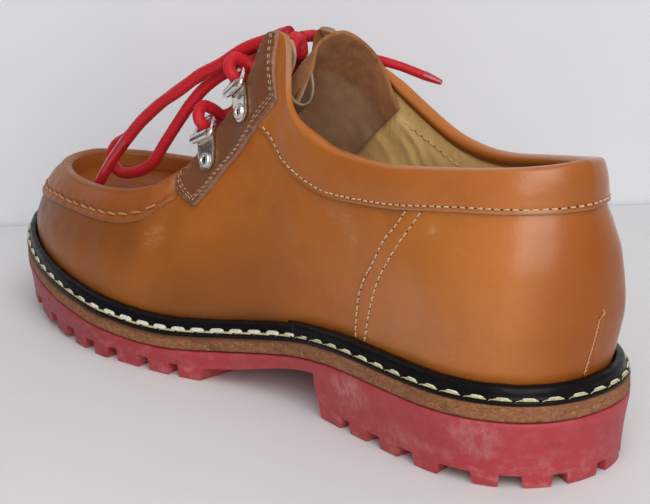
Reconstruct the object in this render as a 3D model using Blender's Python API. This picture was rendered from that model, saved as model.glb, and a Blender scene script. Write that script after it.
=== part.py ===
"""Right shoe: laced moc-toe shoe on a lugged rubber sole with a black storm welt.

Lengths below are millimetres. x runs from the back of the heel to the toe, y to the
inner (medial) side, z up from the ground. put() moves every piece into the row frame:
metres, centred over the sole, standing on z = 0.
"""
from math import cos, pi, sin

import bmesh
import bpy
import numpy as np
from mathutils import Vector

for old in list(bpy.data.objects):
    bpy.data.objects.remove(old, do_unlink=True)

# ---------------------------------------------------------------- named sizes
LENGTH = 300.0            # sole edge, heel to toe
HEEL_CAP = 45.0           # station where the heel rounding ends
HEEL_ROUND = 2.2
TOE_CAP = 200.0           # station where the toe rounding starts
TOE_ROUND = 1.9
HEEL_HEIGHT = 22.0        # rubber at the heel
FOREFOOT_RUBBER = 9.6     # rubber under the ball
TOE_LIFT = 14.0           # rise of the rubber's top from ball to toe tip
LIFT_FROM, LIFT_POWER = 182.0, 1.25
SHANK_FROM, SHANK_TO = 75.0, 178.0
TOE_SPRING = 8.0          # rise of the tread from ball to toe tip
SPRING_FROM, SPRING_POWER = 205.0, 1.3
BREAST = 97.5             # front of the heel block
BREAST_RAKE = 2.5
TREAD_REAR = 154.0        # rear of the forefoot tread
ARCH_RUBBER, ARCH_GAIN = 4.4, 2.2          # thickness of the arch at the heel, and what it gains towards the ball
SOLE_TAPER = 2.6          # the rubber draws in towards the ground
HEEL_NOTCH, FOREFOOT_NOTCH = 4.0, 4.6
LUG_REACH = 13.0          # from the edge inwards
MIDSOLE_THICK = 5.6
WELT_HEIGHT = 5.2
WELT_LEDGE = 2.1
WELT_GAP = 0.5
INSOLE_THICK = 2.6
GAP = 0.3
WALL = 2.2
BAND = 1.3                # collar band leather
BAND_GAP = 0.45
BAND_DEPTH = 14.0
BAND_TURN = 6.0           # how far the band turns down inside
STAY = 1.5                # facing leather
RIM_WIDTH, RIM_DROP = 2.8, 4.6
TONGUE_THICK = 2.0
LACE = 4.4                # cord diameter
WIRE = 2.0                # ring wire diameter

LAST = (  # section, station x, half width at the sole edge, swing of the centre line
    ("heel", 45.0, 37.5, 0.0),
    ("seat", 75.0, 36.9, -1.6),
    ("waist", 110.0, 36.0, -4.4),
    ("joint_rear", 140.0, 40.7, -5.2),
    ("joint", 170.0, 48.6, -3.9),
    ("ball", 200.0, 53.0, -2.7),
)
# Top edge of the upper: section, base station, then x, y, z on the inner side and on the outer side.
TOPLINE = (
    ("heel_back", 0.0, 8.2, 0.0, 98.5, 8.2, 0.0, 98.5),
    ("heel_turn", 6.0, 10.8, 8.4, 98.1, 10.8, -8.4, 97.4),
    ("heel_side", 20.0, 21.6, 18.8, 96.9, 21.6, -19.2, 94.0),
    ("ankle_rear", 45.0, 45.6, 25.8, 94.1, 45.5, -25.8, 89.4),
    ("ankle", 70.0, 70.3, 27.8, 91.6, 70.0, -27.8, 86.1),
    ("ankle_front", 90.0, 92.0, 27.1, 91.8, 88.0, -27.6, 88.6),
    ("rise", 104.0, 108.0, 24.9, 96.0, 101.0, -25.2, 96.2),
    ("tab_foot", 116.0, 122.0, 21.4, 104.2, 115.0, -20.5, 107.4),
    ("tab_rear", 126.0, 131.0, 14.4, 124.6, 131.0, -12.0, 121.5),
    ("tab_front", 132.0, 138.0, 13.6, 125.2, 141.0, -10.6, 123.0),
    ("lace_top", 146.0, 151.0, 15.6, 103.4, 152.0, -13.2, 103.0),
    ("lace_low", 164.0, 168.0, 20.2, 82.0, 168.0, -19.2, 81.0),
    ("throat", 177.0, 178.0, 26.0, 70.0, 178.0, -24.5, 68.0),
    ("apron_rear", 190.0, 187.0, 32.5, 63.5, 187.0, -30.0, 60.5),
    ("apron_ball", 215.0, 207.0, 35.8, 59.4, 207.0, -33.0, 56.0),
    ("apron_side", 245.0, 232.0, 34.2, 58.0, 232.0, -31.0, 53.8),
    ("apron_turn", 275.0, 257.0, 25.0, 58.2, 256.0, -22.5, 54.4),
    ("apron_toe", 292.0, 268.5, 12.0, 58.0, 268.0, -11.5, 55.8),
    ("apron_tip", 300.0, 271.5, -0.5, 57.2, 271.5, -0.5, 57.2),
)
PROFILE = (  # height fraction, swell outside the straight wall at heel, waist and toe
    (0.00, 0.0, 0.0, 0.0),
    (0.15, 3.0, 1.6, 1.6),
    (0.36, 5.9, 3.0, 3.2),
    (0.55, 5.5, 2.9, 3.4),
    (0.72, 3.2, 1.9, 2.8),
    (0.82, 1.2, 0.9, 2.0),
    (1.00, 0.0, 0.0, 0.0),
)
FEATHER = (  # station, inset of the upper's foot from the sole edge
    (0.0, 6.5), (190.0, 6.5), (250.0, 5.0), (300.0, 4.6),
)
FACING = (  # base station, height of the strip's outer edge on the inner side, on the outer side
    (118.0, 103.0, 106.0),
    (122.0, 98.5, 99.5),
    (126.0, 95.0, 95.0),
    (132.0, 86.5, 86.0),
    (146.0, 75.0, 74.0),
    (160.0, 64.5, 63.5),
    (166.0, 62.5, 61.5),
    (172.0, 65.0, 63.5),
    (176.0, 68.0, 66.0),
)
TONGUE = (  # section, centre x, z, then inner edge x, y, z, then outer edge x, y, z
    ("root", 187.0, 52.0, 186.0, 22.0, 49.5, 186.0, -21.0, 47.5),
    ("low", 170.0, 71.5, 165.0, 21.0, 64.0, 165.0, -20.0, 62.0),
    ("mid", 151.0, 95.5, 144.0, 17.5, 86.0, 143.0, -16.5, 84.0),
    ("high", 134.0, 113.0, 131.0, 11.5, 105.5, 123.5, -15.5, 98.0),
    ("top", 122.5, 122.6, 124.5, 8.5, 115.0, 112.5, -15.8, 105.0),
    ("crown", 117.0, 127.3, 122.5, 3.5, 121.5, 112.0, -8.0, 119.0),
)
RINGS = (  # ring pair, base station, height fraction of its rivet
    ("low", 160.0, 0.865),
    ("high", 144.2, 0.885),
)
NOTCHES = (  # gap between two lugs, its distance from the back of the heel along the inner edge and along the outer edge, width, depth
    ("heel_back", -4.1, None, 4.2, HEEL_NOTCH),
    ("heel_rear", 14.0, 22.0, 5.0, HEEL_NOTCH),
    ("heel_corner", 31.0, 38.5, 6.8, HEEL_NOTCH),
    ("heel_side", 50.8, 56.5, 11.4, HEEL_NOTCH),
    ("heel_third", 72.4, 75.5, 7.4, HEEL_NOTCH),
    ("heel_second", 89.0, 90.5, 6.6, HEEL_NOTCH),
    ("heel_front", 104.6, 105.0, 5.2, HEEL_NOTCH),
    ("joint_rear", 187.6, 187.0, 4.0, FOREFOOT_NOTCH),
    ("joint", 201.9, 202.0, 4.6, FOREFOOT_NOTCH),
    ("ball_rear", 218.0, 218.5, 4.8, FOREFOOT_NOTCH),
    ("ball", 232.0, 233.5, 5.8, FOREFOOT_NOTCH),
    ("ball_front", 246.6, 248.5, 6.2, FOREFOOT_NOTCH),
    ("toe_side", 262.4, 264.0, 5.8, FOREFOOT_NOTCH),
    ("toe_corner", 281.6, 281.5, 7.4, FOREFOOT_NOTCH),
    ("toe_turn", 299.0, 299.0, 6.4, FOREFOOT_NOTCH),
    ("toe_front", 317.0, 317.0, 6.4, FOREFOOT_NOTCH),
    ("toe_tip", 335.0, 335.0, 6.4, FOREFOOT_NOTCH),
)
COLOURS = {
    "upper": (0.42, 0.17, 0.04), "band": (0.40, 0.16, 0.05), "stay": (0.25, 0.12, 0.07),
    "tongue": (0.13, 0.07, 0.04), "insole": (0.45, 0.33, 0.18), "welt": (0.01, 0.01, 0.01),
    "midsole": (0.12, 0.05, 0.02), "rubber": (0.28, 0.03, 0.04), "metal": (0.55, 0.53, 0.5),
    "lace": (0.5, 0.01, 0.02),
}


# ---------------------------------------------------------------- shape of the last
def smooth(xs, ys, q):
    """Monotone cubic through a short table."""
    xs, ys, q = np.asarray(xs, float), np.asarray(ys, float), np.asarray(q, float)
    h = np.diff(xs)
    d = np.diff(ys) / h
    m = np.zeros(len(xs))
    m[0], m[-1] = d[0], d[-1]
    for i in range(1, len(xs) - 1):
        if d[i - 1] * d[i] > 0:
            w1, w2 = 2 * h[i] + h[i - 1], h[i] + 2 * h[i - 1]
            m[i] = (w1 + w2) / (w1 / d[i - 1] + w2 / d[i])
    k = np.clip(np.searchsorted(xs, q, side="right") - 1, 0, len(h) - 1)
    t = np.clip((q - xs[k]) / h[k], 0, 1)
    return ((1 + 2 * t) * (1 - t) ** 2 * ys[k] + t * (1 - t) ** 2 * h[k] * m[k]
            + t * t * (3 - 2 * t) * ys[k + 1] + t * t * (t - 1) * h[k] * m[k + 1])


def column(table, k):
    return [row[k] for row in table]


def ease(a, b, q):
    t = np.clip((np.asarray(q, float) - a) / (b - a), 0, 1)
    return t * t * (3 - 2 * t)


def half_width(x):
    x = np.asarray(x, float)
    st = column(LAST, 1)
    w = smooth(st, column(LAST, 2), np.clip(x, st[0], st[-1]))
    u = np.clip((HEEL_CAP - x) / HEEL_CAP, 0, 1)
    v = np.clip((x - TOE_CAP) / (LENGTH - TOE_CAP), 0, 1)
    return w * (1 - u ** HEEL_ROUND) ** (1 / HEEL_ROUND) * (1 - v ** TOE_ROUND) ** (1 / TOE_ROUND)


def swing(x):
    return smooth([0.0] + column(LAST, 1) + [LENGTH], [0.3] + column(LAST, 3) + [-0.3], x)


def run_of(side, n=1600):
    x = LENGTH * (1 - np.cos(np.linspace(0, pi, n))) / 2
    y = swing(x) + side * half_width(x)
    return x, y, np.concatenate([[0], np.cumsum(np.hypot(np.diff(x), np.diff(y)))])


SIDES = {1: run_of(1), -1: run_of(-1)}
MIDDLE_Y = (SIDES[1][1].max() + SIDES[-1][1].min()) / 2


def on_run(side, r):
    """Point of the sole edge at a distance from the heel; past an end it carries on round."""
    xs, ys, s = SIDES[side]
    oxs, oys, os_ = SIDES[-side]
    r = np.asarray(r, float)
    here = np.stack([np.interp(r, s, xs), np.interp(r, s, ys)], -1)
    heel = np.stack([np.interp(-r, os_, oxs), np.interp(-r, os_, oys)], -1)
    back = os_[-1] + s[-1] - r
    toe = np.stack([np.interp(back, os_, oxs), np.interp(back, os_, oys)], -1)
    return np.where((r < 0)[..., None], heel, np.where((r > s[-1])[..., None], toe, here))


def edge(side, x):
    """Sole edge at a station, with its outward direction."""
    xs, _, s = SIDES[side]
    r = np.interp(x, xs, s)
    t = on_run(side, r + 1.5) - on_run(side, r - 1.5)
    t = t / np.linalg.norm(t, axis=-1, keepdims=True)
    return on_run(side, r), np.stack([-t[..., 1], t[..., 0]], -1) * side


def tread(x):
    u = np.clip((np.asarray(x, float) - SPRING_FROM) / (LENGTH - SPRING_FROM), 0, 1)
    return TOE_SPRING * u ** SPRING_POWER


def rubber_top(x):
    x = np.asarray(x, float)
    v = np.clip((x - LIFT_FROM) / (LENGTH - LIFT_FROM), 0, 1)
    return HEEL_HEIGHT + (FOREFOOT_RUBBER - HEEL_HEIGHT) * ease(SHANK_FROM, SHANK_TO, x) + TOE_LIFT * v ** LIFT_POWER


def midsole_top(x):
    return rubber_top(x) + MIDSOLE_THICK


def top_edge(side, x):
    k = 2 if side > 0 else 5
    return np.stack([smooth(column(TOPLINE, 1), column(TOPLINE, k + j), x) for j in range(3)], -1)


def wall(side, x, t, out=0.0):
    """Point on the upper's outer face: base station, height fraction, distance outside the face."""
    x, t = np.broadcast_arrays(np.asarray(x, float), np.asarray(t, float))
    e, n = edge(side, x)
    base = e - n * smooth(column(FEATHER, 0), column(FEATHER, 1), x)[..., None]
    z0 = midsole_top(base[..., 0]) + 2 * GAP
    top = top_edge(side, x)
    heel, waist, toe = (smooth(column(PROFILE, 0), column(PROFILE, k), t) for k in (1, 2, 3))
    kh, kt = 1 - ease(10, 75, x), ease(150, 215, x)
    swell = heel * kh + (1 - kh) * (waist * (1 - kt) + toe * kt) + out
    xy = base + (top[..., :2] - base) * (t ** 1.25)[..., None] + n * swell[..., None]
    return np.concatenate([xy, (z0 + (top[..., 2] - z0) * t)[..., None]], -1)


def height_fraction(side, x, z):
    """Height fraction of a given height on the upper's wall."""
    foot, top = wall(side, x, 0.0)[..., 2], wall(side, x, 1.0)[..., 2]
    return np.clip((z - foot) / (top - foot), 0, 1)


# ---------------------------------------------------------------- making solids
def material(key):
    mat = bpy.data.materials.get(key) or bpy.data.materials.new(key)
    mat.use_nodes = True
    bsdf = mat.node_tree.nodes["Principled BSDF"]
    bsdf.inputs["Base Color"].default_value = (*COLOURS[key], 1.0)
    bsdf.inputs["Metallic"].default_value = 1.0 if key == "metal" else 0.0
    bsdf.inputs["Roughness"].default_value = 0.3 if key == "metal" else 0.6
    return mat


def put(points):
    p = np.asarray(points, float)
    return (p - np.array([LENGTH / 2, MIDDLE_Y, 0.0])) / 1000.0


def solid(name, points, faces, key):
    mesh = bpy.data.meshes.new(name)
    bm = bmesh.new()
    verts = [bm.verts.new(Vector(p)) for p in put(points)]
    for f in faces:
        ring = [verts[i] for i in f]
        if len(set(ring)) > 2:
            bm.faces.new(ring)
    bmesh.ops.remove_doubles(bm, verts=bm.verts, dist=2e-6)
    bmesh.ops.triangulate(bm, faces=bm.faces)
    bmesh.ops.recalc_face_normals(bm, faces=bm.faces)
    bm.to_mesh(mesh)
    bm.free()
    ob = bpy.data.objects.new(name, mesh)
    mesh.materials.append(material(key))
    bpy.context.collection.objects.link(ob)
    return ob


def thick(name, outer, inner, faces, key):
    """Closed solid between two skins that share one net of faces."""
    n = len(outer)
    seen = {}
    for f in faces:
        for a, b in zip(f, f[1:] + f[:1]):
            if a != b:
                seen.setdefault((min(a, b), max(a, b)), []).append((a, b))
    rim = [(a, b) for (lo, hi), use in seen.items() if len(use) == 1 for a, b in use]
    net = list(faces) + [tuple(n + i for i in reversed(f)) for f in faces]
    net += [(b, a, a + n, b + n) for a, b in rim]
    return solid(name, np.concatenate([outer, inner]), net, key)


def grid_faces(rows, cols, start=0, wrap=False):
    net = []
    for i in range(rows if wrap else rows - 1):
        j = (i + 1) % rows
        for k in range(cols - 1):
            net.append((start + i * cols + k, start + j * cols + k, start + j * cols + k + 1, start + i * cols + k + 1))
    return net


def flat(grid):
    return np.asarray(grid, float).reshape(-1, 3)


def loft(name, rings, key):
    """Closed solid through rings of points; the first and last rings are closed across the shoe.

    Each ring runs heel, inner side, toe, outer side, with the same count on both sides.
    """
    n = len(rings[0])
    h = n // 2
    net = []
    for k in range(len(rings) - 1):
        for i in range(n):
            j = (i + 1) % n
            net.append((k * n + i, k * n + j, (k + 1) * n + j, (k + 1) * n + i))
    for k in (0, len(rings) - 1):
        for i in range(h):
            a, b, c, d = i, i + 1, (n - i - 1) % n, (n - i) % n
            net.append(tuple(dict.fromkeys(k * n + v for v in (a, b, c, d))))
    return solid(name, np.concatenate(rings), net, key)


def spaced(side, x0, x1, n):
    """Stations evenly spaced along the sole edge, ends included."""
    xs, _, s = SIDES[side]
    return np.interp(np.linspace(np.interp(x0, xs, s), np.interp(x1, xs, s), n + 1), s, xs)


def stations(marks, per):
    """Stations through the marks, each step divided along the inner edge."""
    out = [marks[0]]
    for a, b in zip(marks, marks[1:]):
        out += list(spaced(1, a, b, per)[1:])
    return np.array(out)


def ring(make, st):
    """Points heel to toe on the inner side, then back on the outer side."""
    return np.concatenate([make(1, st), make(-1, st[-2:0:-1])])


def level(inset, height):
    """Ring maker: a line at an inset from the sole edge and a height that follows the station."""
    def make(side, st):
        e, n = edge(side, st)
        p = e - n * inset
        return np.concatenate([p, height(p[:, 0])[:, None]], -1)
    return make


def tube(points, radius, sides=10):
    """Skin of a round cord along a path, with its ends closed."""
    p = np.asarray(points, float)
    t = np.gradient(p, axis=0)
    t /= np.linalg.norm(t, axis=1, keepdims=True)
    up = np.cross(t[0], [0.3, 0.2, 0.93])
    verts, faces = [], []
    for i in range(len(p)):
        up = up - t[i] * np.dot(up, t[i])
        up /= np.linalg.norm(up)
        w = np.cross(t[i], up)
        for k in range(sides):
            a = 2 * pi * k / sides
            verts.append(p[i] + radius * (up * cos(a) + w * sin(a)))
    faces = [(i * sides + k, i * sides + (k + 1) % sides, (i + 1) * sides + (k + 1) % sides, (i + 1) * sides + k)
             for i in range(len(p) - 1) for k in range(sides)]
    faces += [tuple(range(sides)), tuple((len(p) - 1) * sides + k for k in range(sides))]
    return np.array(verts), faces


def bend(points, n):
    """Smooth path through a few points."""
    p = np.asarray(points, float)
    s = np.concatenate([[0], np.cumsum(np.linalg.norm(np.diff(p, axis=0), axis=1))])
    q = np.linspace(0, s[-1], n)
    m = np.gradient(p, s, axis=0)
    k = np.clip(np.searchsorted(s, q, side="right") - 1, 0, len(s) - 2)
    h = (s[k + 1] - s[k])[:, None]
    t = (q - s[k])[:, None] / h
    return ((1 + 2 * t) * (1 - t) ** 2 * p[k] + t * (1 - t) ** 2 * h * m[k]
            + t * t * (3 - 2 * t) * p[k + 1] + t * t * (t - 1) * h * m[k + 1])


def merge(pieces):
    verts, faces, n = [], [], 0
    for v, f in pieces:
        verts.append(v)
        faces += [tuple(i + n for i in q) for q in f]
        n += len(v)
    return np.concatenate(verts), faces


def boolean(ob, other, how):
    other.hide_render = True
    other.display_type = "WIRE"
    mod = ob.modifiers.new(how.lower() + "_" + other.name, "BOOLEAN")
    mod.operation = how
    mod.solver = "EXACT"
    mod.object = other


# ---------------------------------------------------------------- outsole
def sole_bottom(x):
    """Underside before the notches: heel block, arch, forefoot tread."""
    x = np.asarray(x, float)
    arch = rubber_top(x) - ARCH_RUBBER - ARCH_GAIN * ease(105.0, 148.0, x)
    up = np.clip((x - BREAST) / BREAST_RAKE, 0, 1)
    down = np.clip((x - (TREAD_REAR - 1.5)) / 1.5, 0, 1)
    return np.where(x < TREAD_REAR - 1.5, arch * up, arch * (1 - down) + tread(x) * down)


def taper(x):
    drop = rubber_top(x) - sole_bottom(x)
    return SOLE_TAPER * np.clip(drop / HEEL_HEIGHT, 0.35, 1.0)


def bottom_ring(side, st):
    e, n = edge(side, st)
    p = e - n * taper(st)[:, None]
    return np.concatenate([p, sole_bottom(st)[:, None]], -1)


SOLE_MARKS = (0.0, 20.0, 50.0, 78.0, BREAST, BREAST + BREAST_RAKE, 126.0, TREAD_REAR - 1.5, TREAD_REAR, 180.0,
              SPRING_FROM, 228.0, 250.0, 270.0, 286.0, 300.0)
SOLE_ST = np.unique(np.concatenate([stations(SOLE_MARKS[:5], 4), stations(SOLE_MARKS[5:8], 2),
                                    stations(SOLE_MARKS[8:], 3)]))
outsole = loft("outsole", [
    ring(level(0.7, rubber_top), SOLE_ST),
    ring(level(0.0, lambda x: rubber_top(x) - 0.8), SOLE_ST),
    ring(bottom_ring, SOLE_ST),
], "rubber")


def block(centre, along, across, z0, z1, flare=1.0):
    """Box between two heights; along and across are half sizes as plan vectors; flare widens the low end."""
    c, a, b = (np.asarray(v, float) for v in (centre, along, across))
    v = [np.append(c + i * a * f + j * b, z) for z, f in ((z0, flare), (z1, 1.0)) for i, j in ((-1, -1), (1, -1), (1, 1), (-1, 1))]
    return np.array(v), [(0, 1, 2, 3), (4, 5, 6, 7)] + [(k, (k + 1) % 4, 4 + (k + 1) % 4, 4 + k) for k in range(4)]


def notch(side, r, width, depth):
    """Gap between two lugs, cut in from the sole edge at a distance from the back of the heel."""
    e, n = on_run(side, r), on_run(side, r + 1.5) - on_run(side, r - 1.5)
    n = np.array([-n[1], n[0]]) * side / np.linalg.norm(n)
    t = np.array([n[1], -n[0]])
    reach = LUG_REACH + 6.0
    c = e - n * (reach / 2 - 4.0)
    z = float(tread(e[0]))
    return block(c, t * width / 2, n * reach / 2, z - 6.0, z + depth, 1.4)


def notch_cuts():
    cuts = []
    for _, inner, outer, width, depth in NOTCHES:
        cuts += [notch(side, r, width, depth) for side, r in ((1, inner), (-1, outer)) if r is not None]
    return cuts


def recess(x0, x1, depth, n=7):
    """Sunk field inside the ring of edge lugs."""
    st = np.linspace(x0, x1, n)
    rows = []
    for lift in (-6.0, None):
        for side in (1, -1):
            e, nn = edge(side, st)
            p = e - nn * LUG_REACH
            p[:, 0] = st
            z = tread(st) + depth if lift is None else np.full(n, lift)
            rows.append(np.concatenate([p, z[:, None]], -1))
    v = np.concatenate(rows)
    net = []
    for a, b in ((0, 1), (1, 3), (3, 2), (2, 0)):
        net += [(a * n + i, a * n + i + 1, b * n + i + 1, b * n + i) for i in range(n - 1)]
    net += [(0, n, 3 * n, 2 * n), (n - 1, 2 * n - 1, 4 * n - 1, 3 * n - 1)]
    return v, net


def cross_lug(x, y, long, wide, depth):
    """Plus-shaped centre lug."""
    z = float(tread(x))
    p = []
    for i, j in ((1, 1), (-1, 1), (-1, -1), (1, -1)):
        arms = [(long * i, wide * j), (wide * i, wide * j), (wide * i, long * j)]
        p += arms if i * j > 0 else arms[::-1]
    v = [(x + a, y + b, h) for h in (z, z + depth + 0.8) for a, b in p]
    n = len(p)
    return np.array(v), [tuple(range(n)), tuple(range(n, 2 * n))] + [(k, (k + 1) % n, n + (k + 1) % n, n + k) for k in range(n)]


boolean(outsole, solid("recess_cut", *merge([recess(20.0, 84.0, HEEL_NOTCH, 6), recess(166.0, 274.0, FOREFOOT_NOTCH, 8)]), "rubber"), "DIFFERENCE")
boolean(outsole, solid("notch_cut", *merge(notch_cuts()), "rubber"), "DIFFERENCE")
boolean(outsole, solid("centre_lugs", *merge(
    [cross_lug(x, float(swing(x)), 8.0, 3.4, HEEL_NOTCH) for x in (36.0, 62.0)]
    + [cross_lug(x, float(swing(x)) + d, 7.6, 3.2, FOREFOOT_NOTCH) for x, d in
       ((182.0, -16.0), (182.0, 16.0), (204.0, 0.0), (226.0, -16.0), (226.0, 16.0), (248.0, 0.0))]), "rubber"), "UNION")

# ---------------------------------------------------------------- midsole, welt, insole
RING_ST = np.unique(np.concatenate([stations(tuple(column(TOPLINE, 1)[:17]), 2), stations(tuple(column(TOPLINE, 1)[16:]), 3)]))
loft("midsole", [
    ring(level(0.7, lambda x: rubber_top(x) + GAP), RING_ST),
    ring(level(0.0, lambda x: rubber_top(x) + GAP + 0.7), RING_ST),
    ring(level(0.0, lambda x: midsole_top(x) - 0.7), RING_ST),
    ring(level(0.7, midsole_top), RING_ST),
], "midsole")


def welt_ring(k):
    """Corners of the welt's section, from the outer foot round to the inner foot."""
    def make(side, st):
        e, n = edge(side, st)
        foot = wall(side, st, 0.0, WELT_GAP)
        lip_t = height_fraction(side, st, foot[:, 2] + WELT_HEIGHT)
        lip = wall(side, st, lip_t, WELT_GAP)
        z0 = foot[:, 2] - GAP
        room = np.sum((e - lip[:, :2]) * n, axis=1)
        inset, rise = ((0.5, 0.0), (0.4, WELT_LEDGE), (0.52 * room, WELT_LEDGE + 0.7), (0.66 * room, WELT_HEIGHT - 0.4))[k] if k < 4 else (None, None)
        if k == 4:
            return lip
        if k == 5:
            return np.concatenate([foot[:, :2], z0[:, None]], -1)
        p = e - n * np.broadcast_to(inset, room.shape)[:, None]
        return np.concatenate([p, (midsole_top(p[:, 0]) + GAP + rise)[:, None]], -1)
    return make


SECTION = np.stack([ring(welt_ring(k), RING_ST) for k in range(6)], 1)
welt_net = [(i * 6 + k, ((i + 1) % len(SECTION)) * 6 + k, ((i + 1) % len(SECTION)) * 6 + (k + 1) % 6, i * 6 + (k + 1) % 6)
            for i in range(len(SECTION)) for k in range(6)]
solid("welt", flat(SECTION), welt_net, "welt")


def insole_ring(height):
    def make(side, st):
        p = wall(side, st, 0.0, -WALL - 0.5)
        p[:, 2] = midsole_top(p[:, 0]) + height
        return p
    return make


loft("insole", [ring(insole_ring(GAP), RING_ST), ring(insole_ring(GAP + INSOLE_THICK), RING_ST)], "insole")

# ---------------------------------------------------------------- upper
RISE = (0.0, 0.10, 0.22, 0.38, 0.55, 0.69, 0.79, 0.88, 1.0)
N_RING = 2 * (len(RING_ST) - 1)
THROAT_AT = int(np.argmin(abs(RING_ST - TOPLINE[12][1])))
TIP_AT = len(RING_ST) - 1


def upper_skin(out):
    cols = [ring(lambda side, st, t=t: wall(side, st, t, out), RING_ST) for t in RISE]
    return np.stack(cols, 1)


outer_wall, inner_wall = upper_skin(0.0), upper_skin(-WALL)
apron = list(range(THROAT_AT, N_RING - THROAT_AT + 1))
rim_line = outer_wall[apron, -1]
along = np.gradient(rim_line, axis=0)
inward = np.stack([along[:, 1], -along[:, 0], np.zeros(len(along))], -1)
inward /= np.linalg.norm(inward, axis=1, keepdims=True)
DOWN = np.array([0.0, 0.0, -1.0])
rim_top = rim_line + inward * RIM_WIDTH + DOWN * 0.2
rim_foot = rim_line + inward * (RIM_WIDTH + 0.7) + DOWN * RIM_DROP
mid_in = len(apron) // 2
ACROSS = (0.2, 0.4, 0.6, 0.8)
CROWN = 1.2


def plug_rows(foot, lift):
    rows = []
    for i in range(mid_in):
        a, b = foot[i], foot[-1 - i]
        rows.append([a + (b - a) * f + np.array([0, 0, CROWN * sin(pi * f) + lift]) for f in ACROSS])
    return np.array(rows)


outer_plug = plug_rows(rim_foot, 0.0)
inner_wall[apron, -1] = rim_line + inward * (RIM_WIDTH + 0.2) + DOWN * (RIM_DROP + WALL + 0.3)
inner_top = rim_line + inward * (RIM_WIDTH + 0.6) + DOWN * (RIM_DROP + WALL + 0.2)
inner_foot = rim_line + inward * (RIM_WIDTH + 1.1) + DOWN * (RIM_DROP + WALL)
inner_plug = plug_rows(inner_foot, 0.0)
for i in apron:
    for k, t in enumerate(RISE[:-1]):
        limit = inner_wall[i, -1][2] - 0.8 * (len(RISE) - 1 - k)
        if inner_wall[i, k][2] > limit and t > 0.3:
            inner_wall[i, k][2] = limit

n_wall = N_RING * len(RISE)
n_apron = len(apron)
net = grid_faces(N_RING, len(RISE), 0, True)
top_id = [i * len(RISE) + len(RISE) - 1 for i in apron]
rim_id = [n_wall + i for i in range(n_apron)]
foot_id = [n_wall + n_apron + i for i in range(n_apron)]
plug_id = (n_wall + 2 * n_apron + np.arange(mid_in * len(ACROSS))).reshape(mid_in, len(ACROSS))
for i in range(n_apron - 1):
    net.append((top_id[i], top_id[i + 1], rim_id[i + 1], rim_id[i]))
    net.append((rim_id[i], rim_id[i + 1], foot_id[i + 1], foot_id[i]))
lines = [[foot_id[i], *[int(v) for v in plug_id[i]], foot_id[-1 - i]] for i in range(mid_in)]
for a, b in zip(lines, lines[1:]):
    net += [(a[k], b[k], b[k + 1], a[k + 1]) for k in range(len(a) - 1)]
net += [(lines[-1][k], foot_id[mid_in], lines[-1][k + 1]) for k in range(len(lines[-1]) - 1)]
thick("upper",
      np.concatenate([flat(outer_wall), rim_top, rim_foot, flat(outer_plug)]),
      np.concatenate([flat(inner_wall), inner_top, inner_foot, flat(inner_plug)]), net, "upper")

# ---------------------------------------------------------------- collar band
BAND_ST = RING_ST[RING_ST < 116.5]


def band_line(k, visible):
    def make(side, st):
        top = wall(side, st, 1.0)[:, 2]
        low = height_fraction(side, st, top - BAND_DEPTH)
        turn = height_fraction(side, st, top - BAND_TURN)
        b = BAND if visible else 0.0
        if k < 3:
            return wall(side, st, low + (1 - low) * (0.0, 0.5, 0.96)[k], BAND_GAP + b)
        if k == 3:
            return wall(side, st, 1.0, 0.3 + 0.5 * b) + np.array([0, 0, BAND_GAP + b])
        if k == 4:
            return wall(side, st, 1.0, -WALL - 0.3 - 0.5 * b) + np.array([0, 0, BAND_GAP + b])
        return wall(side, st, (0.985, turn)[k - 5], -WALL - BAND_GAP - b)
    return make


def open_ring(make, st):
    """Points from the inner side's front end round the heel to the outer side's front end."""
    return np.concatenate([make(1, st[::-1]), make(-1, st[1:])])


band_out = np.stack([open_ring(band_line(k, True), BAND_ST) for k in range(7)], 1)
band_in = np.stack([open_ring(band_line(k, False), BAND_ST) for k in range(7)], 1)
thick("collar_band", flat(band_out), flat(band_in), grid_faces(len(band_out), 7), "band")

# ---------------------------------------------------------------- facings
for side, name in ((1, "facing_medial"), (-1, "facing_lateral")):
    st = stations((118.0, 122.0, 126.0, 132.0, 146.0, 160.0, 166.0, 172.0, 176.0), 1)
    st = np.unique(np.concatenate([st, (st[3:5] + st[4:6]) / 2]))
    low = height_fraction(side, st, smooth(column(FACING, 0), column(FACING, 1 if side > 0 else 2), st))
    skins = []
    for out in (GAP + STAY, GAP):
        skins.append(np.stack([wall(side, st, low + (0.995 - low) * f, out) for f in (0.0, 0.33, 0.66, 1.0)], 1))
    thick(name, flat(skins[0]), flat(skins[1]), grid_faces(len(st), 4), "stay")

# ---------------------------------------------------------------- tongue
rows = np.linspace(0, len(TONGUE) - 1, 13)
table = np.array([smooth(range(len(TONGUE)), column(TONGUE, k), rows) for k in range(1, 9)])
centre = np.stack([table[0], np.full(len(rows), -1.0), table[1]], -1)
left, right = table[2:5].T, table[5:8].T
f = np.linspace(0, 1, 7)
skin = []
for c, a, b in zip(centre, left, right):
    ctrl = 2 * c - (a + b) / 2
    skin.append([(1 - u) ** 2 * a + 2 * u * (1 - u) * ctrl + u * u * b for u in f])
skin = np.array(skin)
du, dv = np.gradient(skin, axis=0), np.gradient(skin, axis=1)
normal = np.cross(du, dv)
normal /= np.linalg.norm(normal, axis=2, keepdims=True)
thick("tongue", flat(skin), flat(skin - normal * TONGUE_THICK * np.sign(normal[..., 2:3].mean())), grid_faces(len(rows), len(f)), "tongue")

# ---------------------------------------------------------------- clips, rings and rivets
CLIP_WIDTH, CLIP_SHEET = 7.6, 0.9
RING_WIDTH, RING_DEPTH = 10.4, 9.0
RING_TILT = 25.0 * pi / 180   # the lace draws the ring inwards over the lacing edge
FOLD_AT = 8.4


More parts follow.
